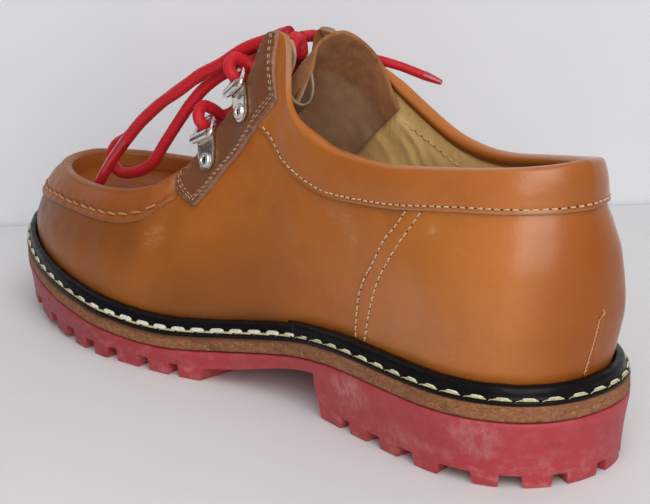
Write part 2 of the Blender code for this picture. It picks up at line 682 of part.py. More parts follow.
def clip_frame(side, station, t):
    """Seat on the facing: origin, up and forwards to the lacing edge, along the edge, out of the leather."""
    o = wall(side, station, t, GAP + STAY)
    rise = wall(side, station, t + 0.06, GAP + STAY) - wall(side, station, t - 0.06, GAP + STAY)
    rise /= np.linalg.norm(rise)
    go = wall(side, station + 3.0, t, GAP + STAY) - wall(side, station - 3.0, t, GAP + STAY)
    out = np.cross(rise, go) * side
    out /= np.linalg.norm(out)
    lacing = wall(side, station + 3.0, 1.0) - wall(side, station - 3.0, 1.0)
    lacing -= out * np.dot(lacing, out)
    lacing /= np.linalg.norm(lacing)
    square = rise - lacing * np.dot(rise, lacing)
    up = rise + square / np.linalg.norm(square)
    up -= out * np.dot(up, out)
    up /= np.linalg.norm(up)
    return o + out * 0.7, up, np.cross(up, out), out


def place(fr, pts):
    o, up, go, out = fr
    p = np.asarray(pts, float)
    return o + p[:, :1] * up + p[:, 1:2] * go + p[:, 2:] * out


ring_tops = {}
for pair, station, t in RINGS:
    for side, tag in ((1, "medial"), (-1, "lateral")):
        fr = clip_frame(side, np.array(station), np.array(t))
        bore = WIRE / 2 + 0.3
        bar = CLIP_SHEET + bore
        inside, outside = [(-3.8, CLIP_SHEET), (FOLD_AT - 0.8, CLIP_SHEET)], [(-3.8, 0.0), (FOLD_AT - 0.8, 0.0)]
        for k in range(9):
            a = -pi / 2 + (pi * 1.25) * k / 8
            inside.append((FOLD_AT + bore * cos(a), bar + bore * sin(a)))
            outside.append((FOLD_AT + (bore + CLIP_SHEET) * cos(a), bar + (bore + CLIP_SHEET) * sin(a)))
        prof = np.array(outside + inside[::-1])
        n, h = len(prof), len(prof) // 2
        v = np.array([(a, w, b) for w in (-CLIP_WIDTH / 2, CLIP_WIDTH / 2) for a, b in prof])
        net = [(k, (k + 1) % n, n + (k + 1) % n, n + k) for k in range(n)]
        for w in (0, n):
            net += [(w + k, w + k + 1, w + n - 2 - k, w + n - 1 - k) for k in range(h - 1)]
        solid(f"clip_{pair}_{tag}", place(fr, v), net, "metal")
        straight = [(FOLD_AT, RING_WIDTH / 2 * (1 - 2 * k / 8), bar) for k in range(9)]
        bow = [(FOLD_AT + RING_DEPTH * cos(RING_TILT) * sin(pi * k / 12), -RING_WIDTH / 2 * cos(pi * k / 12),
                bar - RING_DEPTH * sin(RING_TILT) * sin(pi * k / 12)) for k in range(1, 12)]
        wire = np.array(straight + bow)
        m = len(wire)
        tng = np.roll(wire, -1, 0) - np.roll(wire, 1, 0)
        tng /= np.linalg.norm(tng, axis=1, keepdims=True)
        sd = 6
        vv = []
        for i in range(m):
            side_v = np.cross(tng[i], [0.0, 0.0, 1.0])
            side_v /= np.linalg.norm(side_v)
            up_v = np.cross(side_v, tng[i])
            vv += [wire[i] + WIRE / 2 * (cos(2 * pi * k / sd) * side_v + sin(2 * pi * k / sd) * up_v) for k in range(sd)]
        net = [(i * sd + k, i * sd + (k + 1) % sd, ((i + 1) % m) * sd + (k + 1) % sd, ((i + 1) % m) * sd + k) for i in range(m) for k in range(sd)]
        solid(f"d_ring_{pair}_{tag}", place(fr, vv), net, "metal")
        reach = RING_DEPTH - WIRE / 2 - LACE / 2 - 0.6
        ring_tops[pair, side] = place(fr, [(FOLD_AT + reach * cos(RING_TILT), 0.0, bar - reach * sin(RING_TILT))])[0], fr
        head = [(2.9, CLIP_SHEET + GAP), (2.9, CLIP_SHEET + GAP + 0.5), (2.0, CLIP_SHEET + GAP + 1.2), (0.8, CLIP_SHEET + GAP + 1.4)]
        vv = [(r * cos(2 * pi * k / 14), r * sin(2 * pi * k / 14), z) for r, z in head for k in range(14)]
        net = [(j * 14 + k, j * 14 + (k + 1) % 14, (j + 1) * 14 + (k + 1) % 14, (j + 1) * 14 + k) for j in range(3) for k in range(14)]
        net += [tuple(range(14)), tuple(range(42, 56))]
        solid(f"rivet_{pair}_{tag}", place(fr, vv), net, "metal")

# ---------------------------------------------------------------- lace
KNOT = np.array([144.5, -0.5, 116.8])
KNOT_SIZE = (5.4, 5.8, 5.2)
TURN = (  # lace round a ring's wire: step towards the wire, out of the ring and to the toe, from below the wire to above it
    (5.0, -4.8, 4.0), (0.8, -2.4, 1.4), (-0.3, 0.6, 0.2), (0.6, 3.3, 0.0), (3.8, 4.6, 0.0), (7.0, 3.3, 0.0), (8.2, 0.0, 0.0), (9.2, -5.0, 0.6),
)
TURN_END = ((8.0, 0.2, 0.0), (6.6, -5.4, -0.9))   # above the upper rings the lace drops to the knot
CROSS_DROP = 5.4          # one crossing strand runs under the other


def turn(pair, side):
    p, (o, up, go, out) = ring_tops[pair, side]
    through = up * cos(RING_TILT) - out * sin(RING_TILT)
    over = up * sin(RING_TILT) + out * cos(RING_TILT)
    return [p + through * a + over * b - go * side * c for a, b, c in (TURN if pair == "low" else TURN[:6] + TURN_END)]


def towards(x, y, z, reach=7.6):
    d = np.array([x, y, z], float)
    return KNOT + reach * d / np.linalg.norm(d)


upper_in, upper_out = turn("high", 1), turn("high", -1)
lower_in, lower_out = turn("low", 1), turn("low", -1)
under = np.array([0.75, 0.0, 0.66]) * -CROSS_DROP
route = [towards(0.1, 0.85, -0.55, 9.4)] + upper_in[::-1]
route += [(upper_in[0] + lower_out[-1]) / 2 + under] + lower_out[::-1]
route += [(lower_out[0] + lower_in[0]) / 2 + np.array([5.5, 0.0, 2.5])] + lower_in
route += [(lower_in[-1] + upper_out[0]) / 2] + upper_out + [towards(0.3, -0.7, -0.66, 9.6)]
solid("lace_crossings", *tube(bend(route, 104), LACE / 2, 7), "lace")

ball, faces = [], []
for j in range(7):
    a = pi * j / 6
    for k in range(12):
        b = 2 * pi * k / 12
        ball.append(KNOT + np.array(KNOT_SIZE) * (sin(a) * cos(b), sin(a) * sin(b), cos(a)))
faces = [(j * 12 + k, j * 12 + (k + 1) % 12, (j + 1) * 12 + (k + 1) % 12, (j + 1) * 12 + k) for j in range(6) for k in range(12)]
solid("lace_knot", np.array(ball), faces, "lace")

CORDS = {  # free strands of the bow, from the knot outwards
    "lace_end_medial": (towards(0.5, 0.72, 0.48), (161.4, 8.7, 115.1), (169.2, 13.0, 109.3), (178.0, 16.0, 104.5),
                        (186.0, 19.0, 98.3), (196.0, 21.0, 92.0), (206.5, 23.0, 83.6), (213.0, 24.0, 77.0),
                        (222.0, 26.0, 66.6), (228.0, 28.0, 57.6)),
    "lace_loop_medial": (towards(0.97, 0.15, 0.2), (169.0, 4.0, 111.6), (179.0, 5.5, 106.9), (188.0, 8.0, 101.8),
                         (198.5, 10.0, 95.6), (207.0, 13.0, 89.0), (216.0, 16.0, 81.0), (223.5, 17.0, 74.4),
                         (230.5, 18.0, 70.0), (232.5, 19.0, 65.5), (227.0, 20.0, 61.5), (216.0, 20.0, 62.5),
                         (203.0, 20.0, 69.0), (196.6, 19.0, 76.9), (190.0, 17.5, 85.4), (185.2, 15.0, 92.7),
                         (180.7, 12.0, 98.7), (174.1, 8.8, 104.2), (166.0, 6.2, 108.4), (158.4, 4.4, 111.5),
                         towards(0.8, 0.56, -0.32)),
    "lace_end_lateral": (towards(0.45, -0.85, 0.3), (148.6, -14.2, 118.4), (143.0, -20.6, 115.0), (134.5, -23.8, 111.6),
                         (126.0, -26.2, 110.6), (120.5, -29.6, 109.0), (115.0, -33.0, 106.8), (108.0, -37.0, 104.0)),
    "lace_loop_lateral": (towards(0.75, -0.35, 0.6), (161.5, -6.0, 117.5), (172.0, -7.0, 110.5), (182.0, -8.5, 100.2),
                          (190.5, -11.0, 88.4), (197.0, -14.0, 77.5), (199.0, -17.5, 70.0), (195.0, -20.5, 67.5),
                          (189.5, -19.5, 71.5), (184.5, -16.5, 79.9), (178.6, -13.0, 90.7), (171.6, -10.4, 101.0),
                          (163.2, -4.2, 111.5), towards(0.9, -0.06, -0.43)),
}
for name, path in CORDS.items():
    n = int(sum(np.linalg.norm(np.diff(np.array(path), axis=0), axis=1)) / 7.0) + 2
    pts = put(bend(path, n))
    cu = bpy.data.curves.new(name, "CURVE")
    cu.dimensions = "3D"
    cu.bevel_depth = LACE / 2000.0
    cu.bevel_resolution = 2
    cu.use_fill_caps = True
    sp = cu.splines.new("POLY")
    sp.points.add(len(pts) - 1)
    for q, c in zip(sp.points, pts):
        q.co = (*c, 1.0)
    cu.materials.append(material("lace"))
    ob = bpy.data.objects.new(name, cu)
    bpy.context.collection.objects.link(ob)
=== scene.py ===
"""Look of the laced moc-toe shoe (right shoe). Lengths are millimetres until put() moves them into the row frame:
x from the back of the heel to the toe, y to the inner side, z up from the ground."""
from math import cos, pi, sin

import bmesh
import bpy
import numpy as np
from mathutils import Matrix


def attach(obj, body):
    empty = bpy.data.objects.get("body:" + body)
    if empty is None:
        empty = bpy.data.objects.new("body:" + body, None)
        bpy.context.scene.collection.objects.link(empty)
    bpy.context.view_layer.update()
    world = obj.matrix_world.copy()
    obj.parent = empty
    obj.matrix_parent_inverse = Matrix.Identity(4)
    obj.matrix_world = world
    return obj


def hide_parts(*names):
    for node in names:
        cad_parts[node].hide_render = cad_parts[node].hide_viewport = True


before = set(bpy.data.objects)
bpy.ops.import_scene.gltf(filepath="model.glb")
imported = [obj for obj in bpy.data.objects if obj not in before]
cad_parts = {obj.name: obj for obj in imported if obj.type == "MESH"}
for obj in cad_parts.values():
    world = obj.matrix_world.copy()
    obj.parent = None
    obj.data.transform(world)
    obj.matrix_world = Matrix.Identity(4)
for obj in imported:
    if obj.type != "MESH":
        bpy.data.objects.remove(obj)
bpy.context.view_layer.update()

scene = bpy.context.scene
LENGTH = 300.0
HEEL_CAP, HEEL_ROUND = 45.0, 2.2
TOE_CAP, TOE_ROUND = 200.0, 1.9
HEEL_HEIGHT, FOREFOOT_RUBBER = 22.0, 9.6
TOE_LIFT, LIFT_FROM, LIFT_POWER = 14.0, 182.0, 1.25
SHANK_FROM, SHANK_TO = 75.0, 178.0
TOE_SPRING, SPRING_FROM, SPRING_POWER = 8.0, 205.0, 1.3
BREAST, BREAST_RAKE, TREAD_REAR, ARCH_RUBBER, ARCH_GAIN, SOLE_TAPER = 97.5, 2.5, 154.0, 4.4, 2.2, 2.6
HEEL_NOTCH, FOREFOOT_NOTCH, LUG_REACH = 4.0, 4.6, 13.0
MIDSOLE_THICK, WELT_HEIGHT, WELT_LEDGE = 5.6, 5.2, 2.1
GAP, WALL = 0.3, 2.2
LAST = (
    ("heel", 45.0, 37.5, 0.0), ("seat", 75.0, 36.9, -1.6), ("waist", 110.0, 36.0, -4.4),
    ("joint_rear", 140.0, 40.7, -5.2), ("joint", 170.0, 48.6, -3.9), ("ball", 200.0, 53.0, -2.7),
)
TOPLINE = (
    ("heel_back", 0.0, 8.2, 0.0, 98.5, 8.2, 0.0, 98.5),
    ("heel_turn", 6.0, 10.8, 8.4, 98.1, 10.8, -8.4, 97.4),
    ("heel_side", 20.0, 21.6, 18.8, 96.9, 21.6, -19.2, 94.0),
    ("ankle_rear", 45.0, 45.6, 25.8, 94.1, 45.5, -25.8, 89.4),
    ("ankle", 70.0, 70.3, 27.8, 91.6, 70.0, -27.8, 86.1),
    ("ankle_front", 90.0, 92.0, 27.1, 91.8, 88.0, -27.6, 88.6),
    ("rise", 104.0, 108.0, 24.9, 96.0, 101.0, -25.2, 96.2),
    ("tab_foot", 116.0, 122.0, 21.4, 104.2, 115.0, -20.5, 107.4),
    ("tab_rear", 126.0, 131.0, 14.4, 124.6, 131.0, -12.0, 121.5),
    ("tab_front", 132.0, 138.0, 13.6, 125.2, 141.0, -10.6, 123.0),
    ("lace_top", 146.0, 151.0, 15.6, 103.4, 152.0, -13.2, 103.0),
    ("lace_low", 164.0, 168.0, 20.2, 82.0, 168.0, -19.2, 81.0),
    ("throat", 177.0, 178.0, 26.0, 70.0, 178.0, -24.5, 68.0),
    ("apron_rear", 190.0, 187.0, 32.5, 63.5, 187.0, -30.0, 60.5),
    ("apron_ball", 215.0, 207.0, 35.8, 59.4, 207.0, -33.0, 56.0),
    ("apron_side", 245.0, 232.0, 34.2, 58.0, 232.0, -31.0, 53.8),
    ("apron_turn", 275.0, 257.0, 25.0, 58.2, 256.0, -22.5, 54.4),
    ("apron_toe", 292.0, 268.5, 12.0, 58.0, 268.0, -11.5, 55.8),
    ("apron_tip", 300.0, 271.5, -0.5, 57.2, 271.5, -0.5, 57.2),
)
PROFILE = (
    (0.00, 0.0, 0.0, 0.0), (0.15, 3.0, 1.6, 1.6), (0.36, 5.9, 3.0, 3.2), (0.55, 5.5, 2.9, 3.4),
    (0.72, 3.2, 1.9, 2.8), (0.82, 1.2, 0.9, 2.0), (1.00, 0.0, 0.0, 0.0),
)
FEATHER = ((0.0, 6.5), (190.0, 6.5), (250.0, 5.0), (300.0, 4.6))


def smooth(xs, ys, q):
    xs, ys, q = np.asarray(xs, float), np.asarray(ys, float), np.asarray(q, float)
    h = np.diff(xs)
    d = np.diff(ys) / h
    m = np.zeros(len(xs))
    m[0], m[-1] = d[0], d[-1]
    for i in range(1, len(xs) - 1):
        if d[i - 1] * d[i] > 0:
            w1, w2 = 2 * h[i] + h[i - 1], h[i] + 2 * h[i - 1]
            m[i] = (w1 + w2) / (w1 / d[i - 1] + w2 / d[i])
    k = np.clip(np.searchsorted(xs, q, side="right") - 1, 0, len(h) - 1)
    t = np.clip((q - xs[k]) / h[k], 0, 1)
    return ((1 + 2 * t) * (1 - t) ** 2 * ys[k] + t * (1 - t) ** 2 * h[k] * m[k]
            + t * t * (3 - 2 * t) * ys[k + 1] + t * t * (t - 1) * h[k] * m[k + 1])


def column(table, k):
    return [row[k] for row in table]


def ease(a, b, q):
    t = np.clip((np.asarray(q, float) - a) / (b - a), 0, 1)
    return t * t * (3 - 2 * t)


def half_width(x):
    x = np.asarray(x, float)
    st = column(LAST, 1)
    w = smooth(st, column(LAST, 2), np.clip(x, st[0], st[-1]))
    u = np.clip((HEEL_CAP - x) / HEEL_CAP, 0, 1)
    v = np.clip((x - TOE_CAP) / (LENGTH - TOE_CAP), 0, 1)
    return w * (1 - u ** HEEL_ROUND) ** (1 / HEEL_ROUND) * (1 - v ** TOE_ROUND) ** (1 / TOE_ROUND)


def swing(x):
    return smooth([0.0] + column(LAST, 1) + [LENGTH], [0.3] + column(LAST, 3) + [-0.3], x)


def run_of(side, n=1600):
    x = LENGTH * (1 - np.cos(np.linspace(0, pi, n))) / 2
    y = swing(x) + side * half_width(x)
    return x, y, np.concatenate([[0], np.cumsum(np.hypot(np.diff(x), np.diff(y)))])


SIDES = {1: run_of(1), -1: run_of(-1)}
MIDDLE_Y = (SIDES[1][1].max() + SIDES[-1][1].min()) / 2
RUN_IN, RUN_OUT = SIDES[1][2][-1], SIDES[-1][2][-1]
LOOP = RUN_IN + RUN_OUT


def on_run(side, r):
    xs, ys, s = SIDES[side]
    oxs, oys, os_ = SIDES[-side]
    r = np.asarray(r, float)
    here = np.stack([np.interp(r, s, xs), np.interp(r, s, ys)], -1)
    heel = np.stack([np.interp(-r, os_, oxs), np.interp(-r, os_, oys)], -1)
    back = os_[-1] + s[-1] - r
    toe = np.stack([np.interp(back, os_, oxs), np.interp(back, os_, oys)], -1)
    return np.where((r < 0)[..., None], heel, np.where((r > s[-1])[..., None], toe, here))


def edge(side, x):
    xs, _, s = SIDES[side]
    r = np.interp(x, xs, s)
    t = on_run(side, r + 1.5) - on_run(side, r - 1.5)
    t = t / np.linalg.norm(t, axis=-1, keepdims=True)
    return on_run(side, r), np.stack([-t[..., 1], t[..., 0]], -1) * side


def tread(x):
    u = np.clip((np.asarray(x, float) - SPRING_FROM) / (LENGTH - SPRING_FROM), 0, 1)
    return TOE_SPRING * u ** SPRING_POWER


def rubber_top(x):
    x = np.asarray(x, float)
    v = np.clip((x - LIFT_FROM) / (LENGTH - LIFT_FROM), 0, 1)
    return HEEL_HEIGHT + (FOREFOOT_RUBBER - HEEL_HEIGHT) * ease(SHANK_FROM, SHANK_TO, x) + TOE_LIFT * v ** LIFT_POWER


def midsole_top(x):
    return rubber_top(x) + MIDSOLE_THICK


def top_edge(side, x):
    k = 2 if side > 0 else 5
    return np.stack([smooth(column(TOPLINE, 1), column(TOPLINE, k + j), x) for j in range(3)], -1)


def wall(side, x, t, out=0.0):
    x, t = np.broadcast_arrays(np.asarray(x, float), np.asarray(t, float))
    e, n = edge(side, x)
    base = e - n * smooth(column(FEATHER, 0), column(FEATHER, 1), x)[..., None]
    z0 = midsole_top(base[..., 0]) + 2 * GAP
    top = top_edge(side, x)
    heel, waist, toe = (smooth(column(PROFILE, 0), column(PROFILE, k), t) for k in (1, 2, 3))
    kh, kt = 1 - ease(10, 75, x), ease(150, 215, x)
    swell = heel * kh + (1 - kh) * (waist * (1 - kt) + toe * kt) + out
    xy = base + (top[..., :2] - base) * (t ** 1.25)[..., None] + n * swell[..., None]
    return np.concatenate([xy, (z0 + (top[..., 2] - z0) * t)[..., None]], -1)


# ---- one smooth skin round the whole shoe: q runs along the sole edge from the heel, inner side first; t is the height fraction
NQ, NT = 1240, 121


def station_of(q):
    q = np.mod(np.asarray(q, float), LOOP)
    inner = q <= RUN_IN
    x = np.where(inner, np.interp(q, SIDES[1][2], SIDES[1][0]), np.interp(LOOP - q, SIDES[-1][2], SIDES[-1][0]))
    return inner, x


def q_of(side, x):
    r = np.interp(x, SIDES[side][0], SIDES[side][2])
    return r if side > 0 else LOOP - r


def make_skin():
    q = np.arange(NQ) * LOOP / NQ
    t = np.linspace(0, 1, NT)
    inner, x = station_of(q)
    g = np.empty((NQ, NT, 3))
    g[inner] = wall(1, x[inner][:, None], t[None])
    g[~inner] = wall(-1, x[~inner][:, None], t[None])
    s = g.copy()
    light = None
    for k in range(150):
        s = 0.5 * s + 0.25 * (np.roll(s, 1, 0) + np.roll(s, -1, 0))
        if k == 11:
            light = s.copy()
    tab = ease(98, 112, x) * (1 - ease(186, 200, x))
    w = 1 - tab[:, None] * ease(0.62, 0.9, t)[None]
    g = light * (1 - w[..., None]) + s * w[..., None]
    for k in range(6):
        g[:, 1:-1] = 0.5 * g[:, 1:-1] + 0.25 * (g[:, 2:] + g[:, :-2])
    dq = np.roll(g, -1, 0) - np.roll(g, 1, 0)
    dt = np.gradient(g, axis=1)
    n = np.cross(dq, dt)
    n /= np.linalg.norm(n, axis=2, keepdims=True)
    if (n[:, 40, :2] * (g[:, 40, :2] - g[:, 40, :2].mean(0))).sum(1).mean() < 0:
        n = -n
    return g, n


SKIN, SKIN_N = make_skin()


def cubic(table, q, t):
    q, t = np.broadcast_arrays(np.asarray(q, float), np.asarray(t, float))
    a = np.mod(q, LOOP) / LOOP * NQ
    b = np.clip(t, 0, 1) * (NT - 1)
    i, j = np.floor(a).astype(int), np.minimum(np.floor(b).astype(int), NT - 2)
    u, v = (a - i)[..., None], (b - j)[..., None]

    def wts(u):
        return (-0.5 * u + u * u - 0.5 * u ** 3, 1 - 2.5 * u * u + 1.5 * u ** 3, 0.5 * u + 2 * u * u - 1.5 * u ** 3, -0.5 * u * u + 0.5 * u ** 3)
    out = 0
    for di, wu in zip((-1, 0, 1, 2), wts(u)):
        for dj, wv in zip((-1, 0, 1, 2), wts(v)):
            out = out + wu * wv * table[(i + di) % NQ, np.clip(j + dj, 0, NT - 1)]
    return out


def skin(q, t, out=0.0):
    n = cubic(SKIN_N, q, t)
    n = n / np.linalg.norm(n, axis=-1, keepdims=True)
    return cubic(SKIN, q, t) + n * np.asarray(out, float)[..., None]


def put(points):
    return (np.asarray(points, float) - np.array([LENGTH / 2, MIDDLE_Y, 0.0])) / 1000.0


def normal_at(q, t):
    n = cubic(SKIN_N, q, t)
    return n / np.linalg.norm(n, axis=-1, keepdims=True)


def per_mm(q, t=0.85):
    """Height fraction that one millimetre up the wall takes."""
    return 0.04 / np.linalg.norm(cubic(SKIN, q, t + 0.02) - cubic(SKIN, q, t - 0.02), axis=-1)


def edge_at(q):
    """Sole edge and its outward direction, once round the shoe."""
    q = np.mod(np.asarray(q, float), LOOP)
    t = on_run(1, q + 1.5) - on_run(1, q - 1.5)
    t = t / np.linalg.norm(t, axis=-1, keepdims=True)
    return on_run(1, q), np.stack([-t[..., 1], t[..., 0]], -1)


def wave(p, size, seed):
    """Smooth unevenness between -1 and 1 with features of about that size, the same each run."""
    rng = np.random.default_rng(seed)
    p = np.asarray(p, float)
    out = 0.0
    for _ in range(7):
        d = rng.normal(size=3)
        d *= (0.7 + 0.6 * rng.random()) * 2 * pi / (size * np.linalg.norm(d))
        out = out + np.sin(p @ d + rng.random() * 2 * pi)
    return out / 3.2


# ---------------------------------------------------------------- meshes
def net(rows, cols, wrap_r=False, wrap_c=False, start=0):
    i, j = np.meshgrid(np.arange(rows if wrap_r else rows - 1), np.arange(cols if wrap_c else cols - 1), indexing="ij")
    a, b = (i + 1) % rows, (j + 1) % cols
    return (np.stack([i * cols + j, a * cols + j, a * cols + b, i * cols + b], -1).reshape(-1, 4) + start).tolist()


def flat(grid):
    return np.asarray(grid, float).reshape(-1, 3)


def shell(outer, inner, wrap=False):
    """Closed skin between two grids of the same shape."""
    r, c = outer.shape[:2]
    n = r * c
    ids = np.arange(n).reshape(r, c)
    faces = net(r, c, wrap) + [f[::-1] for f in net(r, c, wrap, start=n)]
    rims = [ids[:, 0], ids[:, -1]] if wrap else [ids[:, 0], ids[:, -1], ids[0], ids[-1]]
    for k in rims:
        k = np.append(k, k[0]) if wrap else k
        faces += np.stack([k[:-1], k[1:], k[1:] + n, k[:-1] + n], -1).tolist()
    return np.concatenate([flat(outer), flat(inner)]), faces


def merge(parts):
    verts, faces, n = [], [], 0
    for v, f in parts:
        verts.append(np.asarray(v, float))
        faces += [[i + n for i in q] for q in f]
        n += len(v)
    return np.concatenate(verts), faces


def piece(name, verts, faces, material, node=None, slot=None, marks=None, angle=None, raw=False):
    me = bpy.data.meshes.new(name)
    me.from_pydata(verts.tolist() if raw else put(verts).tolist(), [], faces)
    for key, values in (marks or {}).items():
        layer = me.attributes.new(key, "FLOAT", "POINT")
        layer.data.foreach_set("value", np.asarray(values, np.float32).ravel())
    bm = bmesh.new()
    bm.from_mesh(me)
    bmesh.ops.recalc_face_normals(bm, faces=bm.faces)
    bm.to_mesh(me)
    bm.free()
    me.materials.append(material)
    return dress(bpy.data.objects.new(name, me), node, angle)


def dress(ob, node=None, angle=None):
    if ob.name not in scene.collection.objects:
        scene.collection.objects.link(ob)
    me = ob.data
    me.polygons.foreach_set("use_smooth", np.ones(len(me.polygons), bool))
    if angle:
        me.set_sharp_from_angle(angle=np.radians(angle))
    me.update()
    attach(ob, "root")
    if node:
        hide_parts(*([node] if isinstance(node, str) else node))
    return ob


def frames(p, up=None):
    """Directions along a path: forward, up and across."""
    p = np.asarray(p, float)
    t = np.gradient(p, axis=0)
    t /= np.linalg.norm(t, axis=1, keepdims=True)
    if up is None:
        ups, u = [], np.cross(t[0], [0.3, 0.2, 0.93])
        for k in t:
            u = u - k * np.dot(u, k)
            u = u / np.linalg.norm(u)
            ups.append(u)
        up = np.array(ups)
    else:
        up = up - t * np.sum(up * t, 1, keepdims=True)
        up = up / np.linalg.norm(up, axis=1, keepdims=True)
    return t, up, np.cross(t, up)


def strand(p, up, across, high, sides=8, ply=0.0, turns=0.0):
    """Thread along a path; across and high are its half width and half height at each point."""
    _, u, w = frames(p, up)
    n = len(p)
    a = 2 * pi * np.arange(sides) / sides
    s = np.linspace(0, 1, n)
    f = 1 + ply * np.cos(2 * (a[None] - turns * 2 * pi * s[:, None]))
    v = (p[:, None] + (across[:, None] * np.cos(a)[None] * f)[..., None] * w[:, None]
         + (high[:, None] * np.sin(a)[None] * f)[..., None] * u[:, None])
    return v.reshape(-1, 3), net(n, sides, wrap_c=True) + [list(range(sides)), [(n - 1) * sides + k for k in range(sides)]]


def along(path, s):
    path = np.asarray(path, float)
    d = np.concatenate([[0], np.cumsum(np.linalg.norm(np.diff(path, axis=0), axis=1))])
    return np.stack([np.interp(s, d, path[:, k]) for k in range(path.shape[1])], -1)


def length_of(path):
    return float(np.linalg.norm(np.diff(np.asarray(path, float), axis=0), axis=1).sum())


def stitch_row(path, normal, pitch, share, radius, seed=0, slant=0.0):
    """Stitches along a path on a surface, and the needle holes between them, near black with painted shade."""
    total = length_of(path)
    both = np.concatenate([path, normal], 1)
    d = np.concatenate([[0], np.cumsum(np.linalg.norm(np.diff(path, axis=0), axis=1))])

    def at(s):
        v = np.stack([np.interp(s, d, both[:, k]) for k in range(6)], -1)
        return v[:, :3], v[:, 3:] / np.linalg.norm(v[:, 3:], axis=1, keepdims=True)

    count = max(1, int(round(total / pitch)))
    step = total / count
    rng = np.random.default_rng(seed)
    u = np.linspace(-1, 1, 8)
    threads, holes = [], []
    for i in range(count):
        mid = (i + 0.5) * step + rng.normal() * 0.04 * step
        p, n = at(np.clip(mid + u * step * share / 2, 0, total))
        side = np.cross(np.gradient(p, axis=0), n)
        side /= np.linalg.norm(side, axis=1, keepdims=True)
        p = p + side * (slant * u + rng.normal() * 0.05)[:, None] + n * (radius * (0.95 - 1.5 * u ** 6))[:, None]
        r = radius * (1 - 0.3 * u ** 4) * (1 + 0.06 * rng.normal())
        threads.append(strand(p, n, r, r * 0.85, 8, 0.10, 1.2))
    for i in range(count + 1):
        s = np.clip(i * step + np.array([-1, 0, 1]) * step * 0.09, 0.01, total - 0.01)
        p, n = at(s)
        gap = max(0.12 * step, radius * 0.8)
        t = p[2] - p[0]
        t = t / max(np.linalg.norm(t), 1e-6)
        w = np.cross(n[1], t)
        ring = [p[1] + n[1] * 0.05 + t * gap * 1.25 * cos(a) + w * radius * 0.95 * sin(a) for a in np.arange(8) * pi / 4]
        holes.append((np.array(ring + [p[1] - n[1] * 0.3]), [list(range(8))] + [[k, (k + 1) % 8, 8] for k in range(8)]))
    return threads, holes


# ---------------------------------------------------------------- materials
class Paint:
    """Small helper to write one Principled material as nodes."""

    def __init__(self, name, **values):
        self.mat = bpy.data.materials.new(name)
        self.mat.use_nodes = True
        self.tree = self.mat.node_tree
        self.bsdf = self.tree.nodes["Principled BSDF"]
        self.place = self.tree.nodes.new("ShaderNodeTexCoord").outputs["Object"]
        for k, v in values.items():
            self.set(k.replace("_", " "), v)

    def set(self, name, value):
        socket = self.bsdf.inputs[name]
        if isinstance(value, bpy.types.NodeSocket):
            self.tree.links.new(value, socket)
        else:
            socket.default_value = (*value, 1.0) if isinstance(value, tuple) and len(value) == 3 and socket.type == "RGBA" else value

    def feed(self, socket, value):
        if isinstance(value, bpy.types.NodeSocket):
            self.tree.links.new(value, socket)
        elif isinstance(value, tuple):
            socket.default_value = (*value, 1.0) if len(value) == 3 and socket.type == "RGBA" else value
        else:
            socket.default_value = value

    def mapped(self, stretch):
        n = self.tree.nodes.new("ShaderNodeMapping")
        self.tree.links.new(self.place, n.inputs["Vector"])
        n.inputs["Scale"].default_value = stretch
        return n.outputs[0]

    def noise(self, size, detail=2.0, rough=0.5, stretch=None, distort=0.0):
        """Noise with features of about that many millimetres."""
        n = self.tree.nodes.new("ShaderNodeTexNoise")
        self.tree.links.new(self.mapped(stretch) if stretch else self.place, n.inputs["Vector"])
        n.inputs["Scale"].default_value = 1000.0 / size
        n.inputs["Detail"].default_value = detail
        n.inputs["Roughness"].default_value = rough
        n.inputs["Distortion"].default_value = distort
        return n.outputs[0]

    def cells(self, size, kind="F1", stretch=None, smooth=0.0):
        n = self.tree.nodes.new("ShaderNodeTexVoronoi")
        n.feature = kind
        self.tree.links.new(self.mapped(stretch) if stretch else self.place, n.inputs["Vector"])
        n.inputs["Scale"].default_value = 1000.0 / size
        return n.outputs["Distance"]

    def mark(self, name):
        n = self.tree.nodes.new("ShaderNodeAttribute")
        n.attribute_name = name
        return n.outputs["Fac"]

    def math(self, how, a, b=0.0, c=0.0):
        n = self.tree.nodes.new("ShaderNodeMath")
        n.operation = how
        for socket, v in zip(n.inputs, (a, b, c)):
            self.feed(socket, v)
        return n.outputs[0]

    def span(self, v, lo, hi, to_lo=0.0, to_hi=1.0):
        """Values between lo and hi, eased to a new range."""
        n = self.tree.nodes.new("ShaderNodeMapRange")
        n.interpolation_type = "SMOOTHSTEP"
        for key, x in (("Value", v), ("From Min", lo), ("From Max", hi), ("To Min", to_lo), ("To Max", to_hi)):
            self.feed(n.inputs[key], x)
        return n.outputs[0]

    def mix(self, share, a, b, how="MIX"):
        n = self.tree.nodes.new("ShaderNodeMix")
        n.data_type = "RGBA"
        n.blend_type = how
        self.feed(n.inputs[0], share)
        self.feed(n.inputs[6], a)
        self.feed(n.inputs[7], b)
        return n.outputs[2]

    def bump(self, height, depth, under=None, strength=1.0):
        """Bump of that many millimetres."""
        n = self.tree.nodes.new("ShaderNodeBump")
        n.inputs["Strength"].default_value = strength
        n.inputs["Distance"].default_value = depth / 1000.0
        self.tree.links.new(height, n.inputs["Height"])
        if under is not None:
            self.tree.links.new(under, n.inputs["Normal"])
        return n.outputs[0]

    def height_mm(self):
        n = self.tree.nodes.new("ShaderNodeSeparateXYZ")
        self.tree.links.new(self.place, n.inputs[0])
        return [self.math("MULTIPLY", o, 1000.0) for o in n.outputs]


